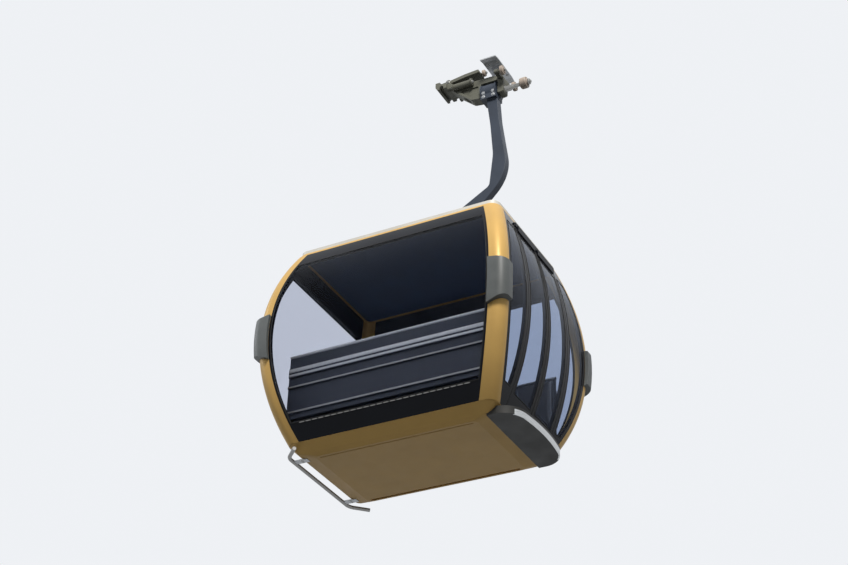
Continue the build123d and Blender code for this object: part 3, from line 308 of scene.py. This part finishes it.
def gold_paint():
    """Gold metallic paint with fine flakes that sparkle under a clear coat."""
    color = (0.50, 0.315, 0.102)
    material = sprayed(
        "gold_paint",
        color,
        0.42,
        Metallic=0.10,
        Specular_IOR_Level=0.22,
        Specular_Tint=(1.0, 0.78, 0.45, 1.0),
        Coat_Weight=0.06,
        Coat_Roughness=0.2,
    )
    flakes = add_node(
        material,
        "ShaderNodeTexVoronoi",
        [("Vector", place_of(material))],
        Scale=FLAKE_SCALE,
    )
    patches = noise(material, PATCH_SCALE, PATCH_DETAIL)
    mixed = add_node(
        material,
        "ShaderNodeMath",
        [(0, flakes.outputs["Distance"]), (1, patches)],
        operation="MULTIPLY_ADD",
    )
    mixed.inputs[2].default_value = FLAKE_BASE
    tones(material, mixed.outputs[0], color, GOLD_TONES)
    return material


def metal(name, color, roughness, brush=(1.0, 1.0, 1.0), metallic=0.95):
    """Bare metal with fine brushing along the axis that the stretch makes small."""
    material = new_material(name, color, roughness, Metallic=metallic)
    lines = noise(material, BRUSH_SCALE, BRUSH_DETAIL, BRUSH_ROUGH, brush)
    tones(material, lines, color, METAL_TONES)
    gloss(material, lines, roughness, METAL_GLOSS)
    bump(material, lines, BRUSH_BUMP, METAL_EDGE)
    return material


def bloomed(name, color, roughness, specular=0.35):
    """Smooth plastic or rubber with a chalky bloom in patches."""
    material = new_material(name, color, roughness, Specular_IOR_Level=specular)
    bloom = noise(material, BLOOM_SCALE, BLOOM_DETAIL)
    tones(material, bloom, color, MOULDED_TONES)
    gloss(material, bloom, roughness, MOULDED_GLOSS)
    return material


def moulded(name, color, roughness, grain=GRAIN_SCALE, **looks):
    """Moulded plastic or rubber with a fine grain."""
    material = bloomed(name, color, roughness, **looks)
    bump(material, noise(material, grain, FINE_DETAIL), GRAIN_BUMP, MOULDED_EDGE)
    return material


def ribbed_rubber():
    """Black floor covering with fine ribs along the cabin."""
    material = bloomed("deck_rubber", (0.022, 0.022, 0.024), 0.75)
    ribs = add_node(
        material,
        "ShaderNodeTexWave",
        [("Vector", place_of(material))],
        wave_type="BANDS",
        bands_direction="X",
        Scale=RIB_SCALE,
    )
    bump(material, ribs.outputs["Fac"], RIB_BUMP)
    return material


def tinted_glass(name, color, painted_sky_tint):
    """Clear tinted pane that mirrors little; its reflections are tinted blue as a painted sky
    reflection.
    """
    return new_material(
        name,
        color,
        0.0,
        Transmission_Weight=1.0,
        IOR=PANE_INDEX,
        Specular_Tint=(*painted_sky_tint, 1.0),
    )


MATERIALS = {
    "gold_paint": gold_paint(),
    "black_gloss": painted(
        "black_gloss", (0.004, 0.005, 0.008), 0.2, dirt=0.3, Specular_IOR_Level=0.1
    ),
    # The blue mirror tint of these panes is a painted sky reflection
    "tinted_glass": tinted_glass("tinted_glass", (0.74, 0.76, 0.82), (0.35, 0.5, 0.9)),
    "bumper_grey": moulded("bumper_grey", (0.075, 0.082, 0.082), 0.5),
    "roof_paint": painted("roof_paint", (0.52, 0.51, 0.47), 0.45),
    "lining": moulded("lining", (0.046, 0.072, 0.140), 0.6, specular=0.15),
    "deck_rubber": ribbed_rubber(),
    "seat_cover": moulded("seat_cover", (0.016, 0.016, 0.019), 0.5, grain=SEAT_GRAIN_SCALE),
    "bench_paint": painted("bench_paint", (0.012, 0.015, 0.023), 0.45, Specular_IOR_Level=0.25),
    "step_black": moulded("step_black", (0.014, 0.014, 0.013), 0.55, specular=0.25),
    "step_edge": metal("step_edge", (0.50, 0.51, 0.51), 0.32, (0.2, 0.2, 4.0)),
    "tube_steel": metal("tube_steel", (0.24, 0.236, 0.228), 0.42, (4.0, 0.2, 4.0), metallic=0.7),
    "galvanised": metal("galvanised", (0.34, 0.35, 0.36), 0.45, metallic=0.8),
    "navy_paint": painted(
        "navy_paint", (0.026, 0.034, 0.050), 0.45, dirt=0.2, Specular_IOR_Level=0.3
    ),
    "grip_cast": painted(
        "grip_cast", (0.085, 0.086, 0.068), 0.55, dirt=0.3, Specular_IOR_Level=0.35
    ),
    "grip_steel": metal("grip_steel", (0.26, 0.26, 0.25), 0.38, (0.2, 4.0, 4.0)),
    "roller_polymer": moulded("roller_polymer", (0.30, 0.25, 0.21), 0.5),
    "damper_rubber": moulded("damper_rubber", (0.010, 0.010, 0.010), 0.7, specular=0.2),
}

# Pane, the way it faces, and whether it has the door side's darker tint, whose deeper blue mirror
# tint is a painted sky reflection
PANES = (
    ("end_glass_near", NEARWARD, False),
    ("end_glass_far", FARWARD, False),
    ("back_glass", INBOARD, False),
    ("portal_glass", OUTBOARD, True),
    ("door_glass_near", OUTBOARD, True),
    ("door_glass_far", OUTBOARD, True),
)
# Darker tint for the door side, with a deep blue mirror tint that is a painted sky reflection
dark_glass = tinted_glass("door_glass", (0.37, 0.44, 0.58), (0.12, 0.3, 1.0))

for subpart in frame["record"]["subparts"]:
    mesh = nodes[subpart["node"]].data
    mesh.materials.clear()
    mesh.materials.append(MATERIALS[subpart["material_slot"]])

# Panes let the light in undimmed, so that the seats behind them are lit evenly
for node, _, dark in PANES:
    nodes[node].visible_shadow = False
    nodes[node].visible_diffuse = False
    if dark:
        nodes[node].data.materials[0] = dark_glass


# Reading the CAD nodes


def joined(node):
    """The node's mesh with the corners that its smooth shading splits put together."""
    bm = bmesh.new()
    bm.from_mesh(nodes[node].data)
    bmesh.ops.remove_doubles(bm, verts=bm.verts, dist=MERGE)
    bm.normal_update()
    return bm


def solids(node):
    """Boxes of a node's separate solids, as (low, high) pairs, from low X and Y up."""
    bm = joined(node)
    left = set(bm.verts)
    boxes = []
    while left:
        reached = [left.pop()]
        for vert in reached:
            for edge in vert.link_edges:
                other = edge.other_vert(vert)
                if other in left:
                    left.remove(other)
                    reached.append(other)
        corners = [vert.co for vert in reached]
        low = Vector([min(corner[axis] for corner in corners) for axis in range(3)])
        high = Vector([max(corner[axis] for corner in corners) for axis in range(3)])
        boxes.append((low, high))
    bm.free()
    return sorted(boxes, key=lambda pair: (round(pair[0].x, 3), round(pair[0].y, 3)))


def rims(node, outward):
    """Closed rims of a node's outer side, as (points, normals, middle of the faces inside)."""
    bm = joined(node)
    bm.faces.ensure_lookup_table()
    outer = {face for face in bm.faces if face.normal.dot(outward) > FACING}
    links = {}
    for edge in bm.edges:
        sides = [face for face in edge.link_faces if face in outer]
        if len(sides) == 1 and len(edge.link_faces) == 2:
            for vert in edge.verts:
                links.setdefault(vert, []).append((edge.other_vert(vert), sides[0]))
    found = []
    left = set(links)
    while left:
        start = left.pop()
        order = [start]
        while True:
            ahead = [other for other, _ in links[order[-1]] if other in left]
            if not ahead:
                break
            left.remove(ahead[0])
            order.append(ahead[0])
        points = [vert.co.copy() for vert in order]
        normals = []
        for vert in order:
            total = sum((face.normal for _, face in links[vert]), Vector())
            normals.append(total.normalized())
        inner = [face.calc_center_median() for vert in order for _, face in links[vert]]
        found.append((points, normals, sum(inner, Vector()) / len(inner)))
    bm.free()
    return found


def surface(node):
    """A tree for casting rays at a node."""
    bm = joined(node)
    tree = BVHTree.FromBMesh(bm)
    bm.free()
    return tree


# Building pieces


def piece(name, body, slot, bm, crease=CREASE):
    """A finished mesh piece that rides on a body and takes a record slot's material."""
    bmesh.ops.recalc_face_normals(bm, faces=bm.faces)
    mesh = bpy.data.meshes.new(name)
    bm.to_mesh(mesh)
    bm.free()
    mesh.shade_smooth()
    mesh.set_sharp_from_angle(angle=math.radians(crease))
    mesh.materials.append(MATERIALS[slot])
    obj = bpy.data.objects.new(name, mesh)
    bpy.context.scene.collection.objects.link(obj)
    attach(obj, body)
    return obj


def skin(bm, rings, closed):
    """Faces between rings of corners, with end caps where the run is open."""
    count = len(rings[0])
    pairs = list(zip(rings, rings[1:]))
    if closed:
        pairs.append((rings[-1], rings[0]))
    for one, two in pairs:
        for i in range(count):
            j = (i + 1) % count
            bm.faces.new((one[i], one[j], two[j], two[i]))
    if not closed:
        bm.faces.new(rings[0])
        bm.faces.new(rings[-1])


def band(bm, points, normals, profile, closed=False, centre=None):
    """Profile of (across, proud) offsets carried along points that lie on a surface.

    With a centre given, across counts away from it.
    """
    count = len(points)
    rings = []
    for i in range(count):
        before = points[i] - points[i - 1] if closed or i else points[1] - points[0]
        after = points[(i + 1) % count] - points[i] if closed or i < count - 1 else before
        side_before = before.normalized().cross(normals[i])
        side_after = after.normalized().cross(normals[i])
        side = (side_before + side_after).normalized()
        side /= max(MITRE_LIMIT, side.dot(side_after.normalized()))
        rings.append((points[i], side, normals[i]))
    if centre is not None and sum((p - centre).dot(side) for p, side, _ in rings) < 0:
        rings = [(p, -side, normal) for p, side, normal in rings]
    corners = [
        [bm.verts.new(p + side * across + normal * proud) for across, proud in profile]
        for p, side, normal in rings
    ]
    skin(bm, corners, closed)


def half_round(half, proud):
    """Profile of a low rounded bead, sunk a little into what it lies on."""
    turns = [math.pi * i / ARC_STEPS for i in range(ARC_STEPS + 1)]
    arc = [(-half * math.cos(turn), proud * math.sin(turn)) for turn in turns]
    return [(-half, -SINK)] + arc + [(half, -SINK)]


def flat_strip(half, proud, chamfer=STRIP_CHAMFER):
    """Profile of a flat strip with small chamfers, sunk a little into what it lies on."""
    return [
        (-half, -SINK),
        (-half, proud - chamfer),
        (-half + chamfer, proud),
        (half - chamfer, proud),
        (half, proud - chamfer),
        (half, -SINK),
    ]


def cast_run(node, starts, direction):
    """Points and normals where rays from the starts meet a node."""
    tree = surface(node)
    points, normals = [], []
    for start in starts:
        place, normal, _, _ = tree.ray_cast(start, direction)
        if place is not None:
            points.append(place)
            normals.append(normal)
    return points, normals


def turned(bm, place, axis, profile, sides=TURNED_SIDES, turn=0.0):
    """Profile of (radius, height) pairs turned about an axis that starts at a place."""
    lean = axis.to_track_quat("Z", "Y").to_matrix()
    rings = []
    for radius, height in profile:
        ring = []
        for i in range(sides):
            angle = turn + 2 * math.pi * i / sides
            spot = Vector((radius * math.cos(angle), radius * math.sin(angle), height))
            ring.append(bm.verts.new(place + lean @ spot))
        rings.append(ring)
    skin(bm, rings, closed=False)


def hex_bolt(bm, place, axis, size, turn=HEAD_TURN):
    """Hexagon head of a size across its corners, on a washer."""
    washer = [
        (size * WASHER_R, -SINK),
        (size * WASHER_R, size * WASHER_EDGE),
        (size * WASHER_TOP_R, size * WASHER_TOP),
    ]
    turned(bm, place, axis, washer)
    head = [(size * radius, size * height) for radius, height in HEAD_PROFILE]
    turned(bm, place, axis, head, sides=6, turn=turn)


def weld(bm, points, radius=WELD_R):
    """Weld bead along a polyline, as a tube with the ripples of its passes."""
    path = [points[0]]
    for end in points[1:]:
        start = path[-1].copy()
        steps = max(1, round((end - start).length / WELD_PITCH * WELD_STEPS))
        path += [start.lerp(end, (i + 1) / steps) for i in range(steps)]
    rings = []
    for i, spot in enumerate(path):
        ahead = path[min(i + 1, len(path) - 1)] - path[max(i - 1, 0)]
        lean = ahead.to_track_quat("Z", "Y").to_matrix()
        swell = radius * (1.0 + WELD_RIPPLE * math.cos(2 * math.pi * i / WELD_STEPS))
        turns = [2 * math.pi * k / WELD_SIDES for k in range(WELD_SIDES)]
        around = [Vector((swell * math.cos(turn), swell * math.sin(turn), 0)) for turn in turns]
        rings.append([bm.verts.new(spot + lean @ offset) for offset in around])
    skin(bm, rings, closed=False)


# Seals and glazing beads


def window_seals():
    """Rubber seal round each pane."""
    bm = bmesh.new()
    for node, outward, _ in PANES:
        for points, normals, centre in rims(node, outward):
            band(bm, points, normals, half_round(SEAL_W / 2, SEAL_PROUD), True, centre)
    piece("window_seals", "carrier", "damper_rubber", bm)


def loop_length(points):
    """Length round a closed loop of points."""
    return sum((a - b).length for a, b in zip(points, points[1:] + points[:1]))


def leaf_seals():
    """Seal round each door leaf, and the wider one where the two leaves meet."""
    bm = bmesh.new()
    for node in ("door_leaf_near", "door_leaf_far"):
        loops = rims(node, OUTBOARD)
        points, normals, centre = max(loops, key=lambda loop: loop_length(loop[0]))
        band(bm, points, normals, half_round(LEAF_SEAL_W / 2, LEAF_SEAL_PROUD), True, centre)
    low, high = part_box("door_leaf_far")
    rise = (high[2] - low[2]) / MEETING_STEPS
    heights = [low[2] + rise * (i + MEETING_START) for i in range(MEETING_STEPS)]
    starts = [Vector((RAY_START, low[1] + MEETING_INSET, z)) for z in heights]
    points, normals = cast_run("door_leaf_far", starts, INBOARD)
    points = [Vector((p.x, 0.0, p.z)) for p in points]
    band(bm, points, normals, half_round(MEETING_SEAL_W / 2, MEETING_SEAL_PROUD))
    piece("door_seals", "carrier", "damper_rubber", bm)


def glazing_beads():
    """Light clips along the lower edge of both end windows."""
    for node, outward, _ in PANES[:2]:
        low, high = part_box(node)
        tree = surface(node.replace("glass", "panel"))
        z = low[2] - BEAD_TALL
        middle = (low[0] + high[0]) / 2
        reach = (high[0] - low[0]) / 2 * BEAD_REACH
        bm = bmesh.new()
        pitch = 2 * reach / BEAD_SEGMENTS
        for i in range(BEAD_SEGMENTS):
            x0 = middle - reach + pitch * (i + BEAD_START)
            points, normals = [], []
            for x in (x0, x0 + pitch * BEAD_LONG / 2, x0 + pitch * BEAD_LONG):
                start = Vector((x, 0, z)) + outward * RAY_START
                spot, normal, _, _ = tree.ray_cast(start, -outward)
                points.append(spot)
                normals.append(normal)
            band(bm, points, normals, flat_strip(BEAD_TALL / 2, BEAD_PROUD))
        piece(node.replace("glass", "beads"), "carrier", "tube_steel", bm)


# Cushions


def cushion_start(low, high):
    """A rounded block a little smaller than the solid it stands for."""
    bm = bmesh.new()
    bmesh.ops.create_cube(bm, size=1.0)
    size = high - low
    for vert in bm.verts:
        for axis in range(3):
            vert.co[axis] *= size[axis] - 2 * CUSHION_SHRINK
    bmesh.ops.bevel(
        bm,
        geom=list(bm.edges),
        offset=min(size) * CUSHION_ROUND,
        segments=CUSHION_ROUND_STEPS,
        affect="EDGES",
        profile=0.5,
    )
    mesh = bpy.data.meshes.new("cushion_start")
    bm.to_mesh(mesh)
    bm.free()
    return mesh


def applied(obj):
    """The object's mesh with its modifiers in it."""
    graph = bpy.context.evaluated_depsgraph_get()
    return bpy.data.meshes.new_from_object(obj.evaluated_get(graph))


def swollen(name, low, high):
    """Foam cushion in the space between two corners, about their middle, puffed up as cloth."""
    obj = bpy.data.objects.new(name, cushion_start(low, high))
    bpy.context.scene.collection.objects.link(obj)
    remesh = obj.modifiers.new("remesh", "REMESH")
    remesh.mode = "VOXEL"
    remesh.voxel_size = CUSHION_VOXEL
    plain = applied(obj)
    obj.modifiers.clear()
    obj.data = plain
    before = [vert.co.copy() for vert in plain.vertices]
    cloth = obj.modifiers.new("cloth", "CLOTH")
    cloth.settings.use_pressure = True
    cloth.settings.uniform_pressure_force = CUSHION_PRESSURE
    cloth.settings.effector_weights.gravity = 0.0
    cloth.point_cache.frame_end = CUSHION_FRAMES
    for number in range(1, CUSHION_FRAMES + 1):
        bpy.context.scene.frame_set(number)
    puffed = applied(obj)
    obj.modifiers.clear()
    for vert, start in zip(puffed.vertices, before):
        step = vert.co - start
        if step.length > CUSHION_SWELL:
            step *= CUSHION_SWELL / step.length
        vert.co = start + step
    obj.data = puffed
    bpy.context.scene.frame_set(1)
    mesh = obj.data
    bpy.data.objects.remove(obj)
    return mesh


def piping_line(middle, size, thin, outer):
    """Rounded rectangle along a cushion's edge, off its middle towards its outer side."""
    a, b = [axis for axis in range(3) if axis != thin]
    reach_a = size[a] / 2 - PIPING_CORNER_R - PIPING_INSET
    reach_b = size[b] / 2 - PIPING_CORNER_R - PIPING_INSET
    line = []
    for sign_a, sign_b in ((-1, -1), (1, -1), (1, 1), (-1, 1)):
        start = math.atan2(sign_b, sign_a) - math.pi / 4
        for i in range(PIPING_CORNER_STEPS + 1):
            turn = start + math.pi / (2 * PIPING_CORNER_STEPS) * i
            spot = middle.copy()
            spot[a] += sign_a * reach_a + PIPING_CORNER_R * math.cos(turn)
            spot[b] += sign_b * reach_b + PIPING_CORNER_R * math.sin(turn)
            spot[thin] += outer * size[thin] * PIPING_HEIGHT
            line.append(spot)
    return line


def cushions(node, name):
    """The cushions that stand for a row of soft solids, each piped along its edge."""
    boxes = solids(node)
    low, high = boxes[0]
    mesh = swollen(name, low, high)
    size = high - low
    thin = min(range(3), key=lambda axis: size[axis])
    turns = [2 * math.pi * i / PIPING_SIDES for i in range(PIPING_SIDES)]
    tube = [(PIPING_R * math.cos(turn), PIPING_R * math.sin(turn)) for turn in turns]
    bm = bmesh.new()
    for corner_low, corner_high in boxes:
        middle = (corner_low + corner_high) / 2
        start = len(bm.verts)
        bm.from_mesh(mesh)
        bm.verts.ensure_lookup_table()
        for vert in bm.verts[start:]:
            spot = vert.co + middle
            for axis in range(3):
                spot[axis] = min(max(spot[axis], corner_low[axis]), corner_high[axis])
            vert.co = spot
        outer = 1.0 if thin == 2 or middle.y < 0 else -1.0
        line = piping_line(middle, size, thin, outer)
        normals = [(spot - middle).normalized() for spot in line]
        band(bm, line, normals, tube, True)
    obj = piece(name, "carrier", "seat_cover", bm, crease=CUSHION_CREASE)
    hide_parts(node)


# Trim on each back board's outside: slot, height above the floor pan, half of how tall it is
BACK_TRIM = (
    ("galvanised", 0.885, 0.020),
    ("galvanised", 0.832, 0.013),
    ("grip_steel", 0.700, 0.009),
    ("grip_steel", 0.420, 0.010),
)


def back_trim():
    """Bright rails and strips of each back board, seen through the end windows."""
    pan_low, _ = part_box("floor_pan")
    for end, sign in (("near", -1), ("far", 1)):
        low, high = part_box(f"bench_frame_{end}")
        y = high[1] if sign > 0 else low[1]
        for i, (slot, height, half) in enumerate(BACK_TRIM):
            bm = bmesh.new()
            z = pan_low[2] + height
            points = [Vector((x, y, z)) for x in (low[0] + STRIP_INSET, high[0] - STRIP_INSET)]
            normals = [Vector((0, sign, 0))] * 2
            band(bm, points, normals, half_round(half, STRIP_PROUD))
            piece(f"back_strip_{end}_{i + 1}", "carrier", slot, bm)
        bm = bmesh.new()
        backs_low, backs_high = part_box(f"backrests_{end}")
        rail_y = backs_high[1] + BENCH_RAIL_GAP if sign > 0 else backs_low[1] - BENCH_RAIL_GAP
        start = Vector((low[0] + BENCH_RAIL_INSET, rail_y, high[2] - BENCH_RAIL_R))
        length = high[0] - low[0] - 2 * BENCH_RAIL_INSET
        sleeve = BENCH_RAIL_R + BENCH_RAIL_SLEEVE
        profile = [
            (sleeve * BENCH_RAIL_END, 0.0),
            (sleeve, BENCH_RAIL_CHAMFER),
            (sleeve, length - BENCH_RAIL_CHAMFER),
            (sleeve * BENCH_RAIL_END, length),
        ]
        turned(bm, start, OUTBOARD, profile)
        piece(f"bench_top_rail_{end}", "carrier", "galvanised", bm)


# Fasteners and welds


def suspension_bolts():
    """Bolts through the cross frame into the dampers, and beside them into the roof rails."""
    bm = bmesh.new()
    _, frame_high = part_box("suspension_frame")
    for low, high in solids("dampers"):
        middle = (low + high) / 2
        hex_bolt(bm, Vector((middle.x, middle.y, frame_high[2])), UP, DAMPER_BOLT)
        for x in (middle.x - RAIL_BOLT_X, middle.x + RAIL_BOLT_X):
            hex_bolt(bm, Vector((x, middle.y, low.z)), UP, RAIL_BOLT)
    piece("suspension_bolts", "carrier", "galvanised", bm)


def roof_seams():
    """Two standing seams along the roof panel."""
    low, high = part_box("roof_panel")
    bm = bmesh.new()
    middle = (low[0] + high[0]) / 2
    start_y = low[1] + ROOF_SEAM_INSET
    length = high[1] - low[1] - 2 * ROOF_SEAM_INSET
    profile = flat_strip(ROOF_SEAM_W / 2, ROOF_SEAM_PROUD, ROOF_SEAM_CHAMFER)
    for x in (middle - ROOF_SEAM_X, middle + ROOF_SEAM_X):
        run = [start_y + length * i / ROOF_SEAM_STEPS for i in range(ROOF_SEAM_STEPS + 1)]
        points, normals = cast_run("roof_panel", [Vector((x, y, 0.0)) for y in run], DOWN)
        band(bm, points, normals, profile)
    piece("roof_seams", "carrier", "roof_paint", bm)


def roof_screws():
    """Domed screws round the roof panel's edge."""
    low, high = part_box("roof_panel")
    tree = surface("roof_panel")
    bm = bmesh.new()
    half_x = (high[0] - low[0]) / 2 - ROOF_SCREW_INSET
    half_y = (high[1] - low[1]) / 2 - ROOF_SCREW_INSET
    middle = (low[0] + high[0]) / 2
    across = [half_x * (2 * i / ROOF_SCREWS_X - 1) for i in range(ROOF_SCREWS_X + 1)]
    along = [half_y * (2 * i / ROOF_SCREWS_Y - 1) for i in range(ROOF_SCREWS_Y + 1)][1:-1]
    places = [(x, y) for x in across[1:-1] for y in (-half_y, half_y)]
    places += [(x, y) for y in along for x in (-half_x, half_x)]
    for x, y in places:
        spot, normal, _, _ = tree.ray_cast(Vector((middle + x, y, 0.0)), DOWN)
        if spot is not None:
            turned(bm, spot, normal, ROOF_SCREW, sides=ROOF_SCREW_SIDES)
    piece("roof_screws", "carrier", "galvanised", bm)


def arm_welds():
    """Fillet welds where the arm stands on its beam and where it meets the head."""
    low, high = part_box("hanger_arm")
    _, beam_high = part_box("suspension_frame")
    foot_z, head_z = beam_high[2], high[2] - HEAD_WELD_DROP
    bm = bmesh.new()
    for y in (low[1], high[1]):
        weld(bm, [Vector((x, y, foot_z)) for x in (low[0] + FOOT_WELD_INSET, FOOT_WELD_END)])
        weld(bm, [Vector((x, y, head_z)) for x in (HEAD_WELD_FROM, HEAD_WELD_TO)])
    sides = (low[1] + FOOT_WELD_SIDE, high[1] - FOOT_WELD_SIDE)
    weld(bm, [Vector((low[0], y, foot_z)) for y in sides])
    piece("arm_welds", "carrier", "navy_paint", bm)


def grip_bolts():
    """Heads on the spring caps, the jaw pin, the friction plate and the rollers' pins."""
    bm = bmesh.new()
    for low, high in solids("spring_housings"):
        middle = (low + high) / 2
        hex_bolt(bm, Vector((low.x, middle.y, middle.z)), INBOARD, SPRING_BOLT)
        hex_bolt(bm, Vector((high.x, middle.y, middle.z)), OUTBOARD, SPRING_BOLT)
    low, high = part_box("jaw_pin")
    middle_x, middle_z = (low[0] + high[0]) / 2, (low[2] + high[2]) / 2
    for y, way in ((low[1], -1), (high[1], 1)):
        hex_bolt(bm, Vector((middle_x, y, middle_z)), Vector((0, way, 0)), JAW_PIN_BOLT)
    low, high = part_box("friction_plate")
    plate_x = (low[0] + high[0]) / 2
    for x in (plate_x - PLATE_BOLT_X, plate_x + PLATE_BOLT_X):
        for y in (-PLATE_BOLT_Y, PLATE_BOLT_Y):
            hex_bolt(bm, Vector((x, y, high[2] - PLATE_T)), DOWN, PLATE_BOLT)
    low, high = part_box("roller_beam")
    pin_x, pin_z = high[0], (low[2] + high[2]) / 2
    low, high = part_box("track_roller_far")
    track_y = (low[1] + high[1]) / 2
    for y in (-track_y, track_y):
        hex_bolt(bm, Vector((pin_x, y, pin_z)), OUTBOARD, TRACK_BOLT)
    _, rod_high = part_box("guide_rod")
    low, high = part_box("pivot_shaft")
    shaft_z = (low[2] + high[2]) / 2
    hex_bolt(bm, Vector((rod_high[0], 0, shaft_z)), OUTBOARD, GUIDE_BOLT)
    turned(bm, Vector((low[0], 0, shaft_z)), INBOARD, SHAFT_NUT, sides=6)
    piece("grip_bolts", "grip", "grip_steel", bm)


def step_treads():
    """Raised grips along the top of the door step."""
    low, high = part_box("door_step")
    tree = surface("door_step")
    bm = bmesh.new()
    for inset in TREAD_INSETS:
        points, normals = [], []
        for i in range(TREAD_STEPS + 1):
            y = TREAD_REACH * (2 * i / TREAD_STEPS - 1)
            edge = high[0] - STEP_BULGE * (y / STEP_HALF) ** 2
            start = Vector((edge - inset, y, high[2] + 1.0))
            spot, normal, _, _ = tree.ray_cast(start, DOWN)
            if spot is not None and spot.z > high[2] - TREAD_FLAT:
                points.append(spot)
                normals.append(normal)
        if len(points) > 2:
            band(bm, points, normals, flat_strip(TREAD_HALF, TREAD_PROUD))
    piece("step_treads", "carrier", "deck_rubber", bm)


def jaw_bolts():
    """Head on the coupling roller's pin."""
    bm = bmesh.new()
    low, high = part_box("coupling_roller")
    _, pin_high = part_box("moving_jaw")
    middle = (low + high) / 2
    hex_bolt(bm, Vector((pin_high[0], middle.y, middle.z)), OUTBOARD, COUPLING_BOLT)
    piece("jaw_bolts", "jaw", "grip_steel", bm)


def head_bolts():
    """Clamping bolts on both faces of the hanger head's block."""
    low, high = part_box("hanger_head")
    tree = surface("hanger_head")
    bm = bmesh.new()
    for way in (-1, 1):
        out = Vector((0, way, 0))
        for x in (low[0] + HEAD_BOLT_INSET, high[0] - HEAD_BOLT_INSET):
            for rise in HEAD_BOLT_RISES:
                spot, normal, _, _ = tree.ray_cast(Vector((x, 0, low[2] + rise)) + out, -out)
                hex_bolt(bm, spot, normal, HEAD_BOLT, HEAD_BOLT_TURN)
    piece("head_bolts", "carrier", "galvanised", bm)


def bracket_bolts():
    """Two bolts under each bracket of the guide tube."""
    bm = bmesh.new()
    for low, high in solids("tube_brackets"):
        middle = (low + high) / 2
        for y in (middle.y - BRACKET_BOLT_Y, middle.y + BRACKET_BOLT_Y):
            hex_bolt(bm, Vector((low.x + BRACKET_BOLT_X, y, low.z)), DOWN, BRACKET_BOLT)
    piece("bracket_bolts", "carrier", "grip_steel", bm)


window_seals()
leaf_seals()
glazing_beads()
for end in ("near", "far"):
    cushions(f"seat_pads_{end}", f"seat_cushions_{end}")
    cushions(f"backrests_{end}", f"back_cushions_{end}")
back_trim()
step_treads()
suspension_bolts()
roof_seams()
roof_screws()
arm_welds()
grip_bolts()
jaw_bolts()
head_bolts()
bracket_bolts()


# Studio


def either(tree, path, rays):
    """1 for any of these kinds of ray, and 0 for the rest."""
    seen = path.outputs[rays[0]]
    for ray in rays[1:]:
        node = tree.nodes.new("ShaderNodeMath")
        node.operation = "MAXIMUM"
        tree.links.new(seen, node.inputs[0])
        tree.links.new(path.outputs[ray], node.inputs[1])
        seen = node.outputs[0]
    return seen


def floor_material():
    """Floor that is pale where it is seen, mirrored or seen through, and dark in its bounce."""
    material = new_material("floor", BACKDROP, FLOOR_ROUGHNESS)
    material.cycles.emission_sampling = "NONE"
    tree = material.node_tree
    mix = tree.nodes.new("ShaderNodeMix")
    mix.data_type = "RGBA"
    mix.inputs["A"].default_value = (*BOUNCE, 1.0)
    mix.inputs["B"].default_value = (*FLOOR_SHADE, 1.0)
    path = tree.nodes.new("ShaderNodeLightPath")
    shown = either(tree, path, SHOWN)
    tree.links.new(shown, mix.inputs["Factor"])
    connect(material, mix.outputs["Result"], "Base Color")
    shader_of(material).inputs["Emission Color"].default_value = (*BACKDROP, 1.0)
    lift = tree.nodes.new("ShaderNodeMapRange")
    lift.inputs["To Max"].default_value = FLOOR_LIFT
    tree.links.new(shown, lift.inputs["Value"])
    connect(material, lift.outputs[0], "Emission Strength")
    return material


def floor():
    """Wide floor, a little below the camera."""
    mesh = bpy.data.meshes.new("floor")
    bm = bmesh.new()
    bmesh.ops.create_grid(bm, x_segments=1, y_segments=1, size=FLOOR_HALF)
    bm.to_mesh(mesh)
    bm.free()
    mesh.materials.append(floor_material())
    obj = bpy.data.objects.new("floor", mesh)
    obj.location.z = FLOOR_Z
    bpy.context.scene.collection.objects.link(obj)


def make_world():
    """Even light from all round, and a paler backdrop where it is seen or mirrored."""
    world = bpy.data.worlds.new("studio")
    bpy.context.scene.world = world
    world.use_nodes = True
    tree = world.node_tree
    background = tree.nodes["Background"]
    background.inputs["Color"].default_value = (*BACKDROP, 1.0)
    path = tree.nodes.new("ShaderNodeLightPath")
    level = tree.nodes.new("ShaderNodeMapRange")
    level.inputs["To Min"].default_value = SKY_LEVEL
    level.inputs["To Max"].default_value = SHOWN_LEVEL
    tree.links.new(either(tree, path, SHOWN), level.inputs["Value"])
    tree.links.new(level.outputs[0], background.inputs["Strength"])


def area_lamp(name, place, size, power, color):
    """Round lamp that faces the cabin."""
    lamp = bpy.data.lights.new(name, "AREA")
    lamp.shape = "DISK"
    lamp.size = size
    lamp.energy = power
    lamp.color = color
    obj = bpy.data.objects.new(name, lamp)
    obj.location = place
    obj.rotation_euler = (AIM - Vector(place)).to_track_quat("-Z", "Y").to_euler()
    bpy.context.scene.collection.objects.link(obj)


def make_camera():
    """Camera at the photo's place, turned to the cabin."""
    camera = bpy.data.objects.new("camera", bpy.data.cameras.new("camera"))
    camera.location = EYE
    look = (AIM - EYE).to_track_quat("-Z", "Y").to_matrix()
    camera.rotation_euler = (look @ Matrix.Rotation(LEAN, 3, "Z")).to_euler()
    camera.data.lens = LENS
    camera.data.sensor_width = SENSOR_W
    camera.data.clip_start = CLIP_START
    camera.data.clip_end = CLIP_END
    bpy.context.scene.collection.objects.link(camera)
    bpy.context.scene.camera = camera


make_world()
make_camera()
floor()
for lamp in LAMPS:
    area_lamp(*lamp)

bpy.context.scene.view_settings.view_transform = "Standard"
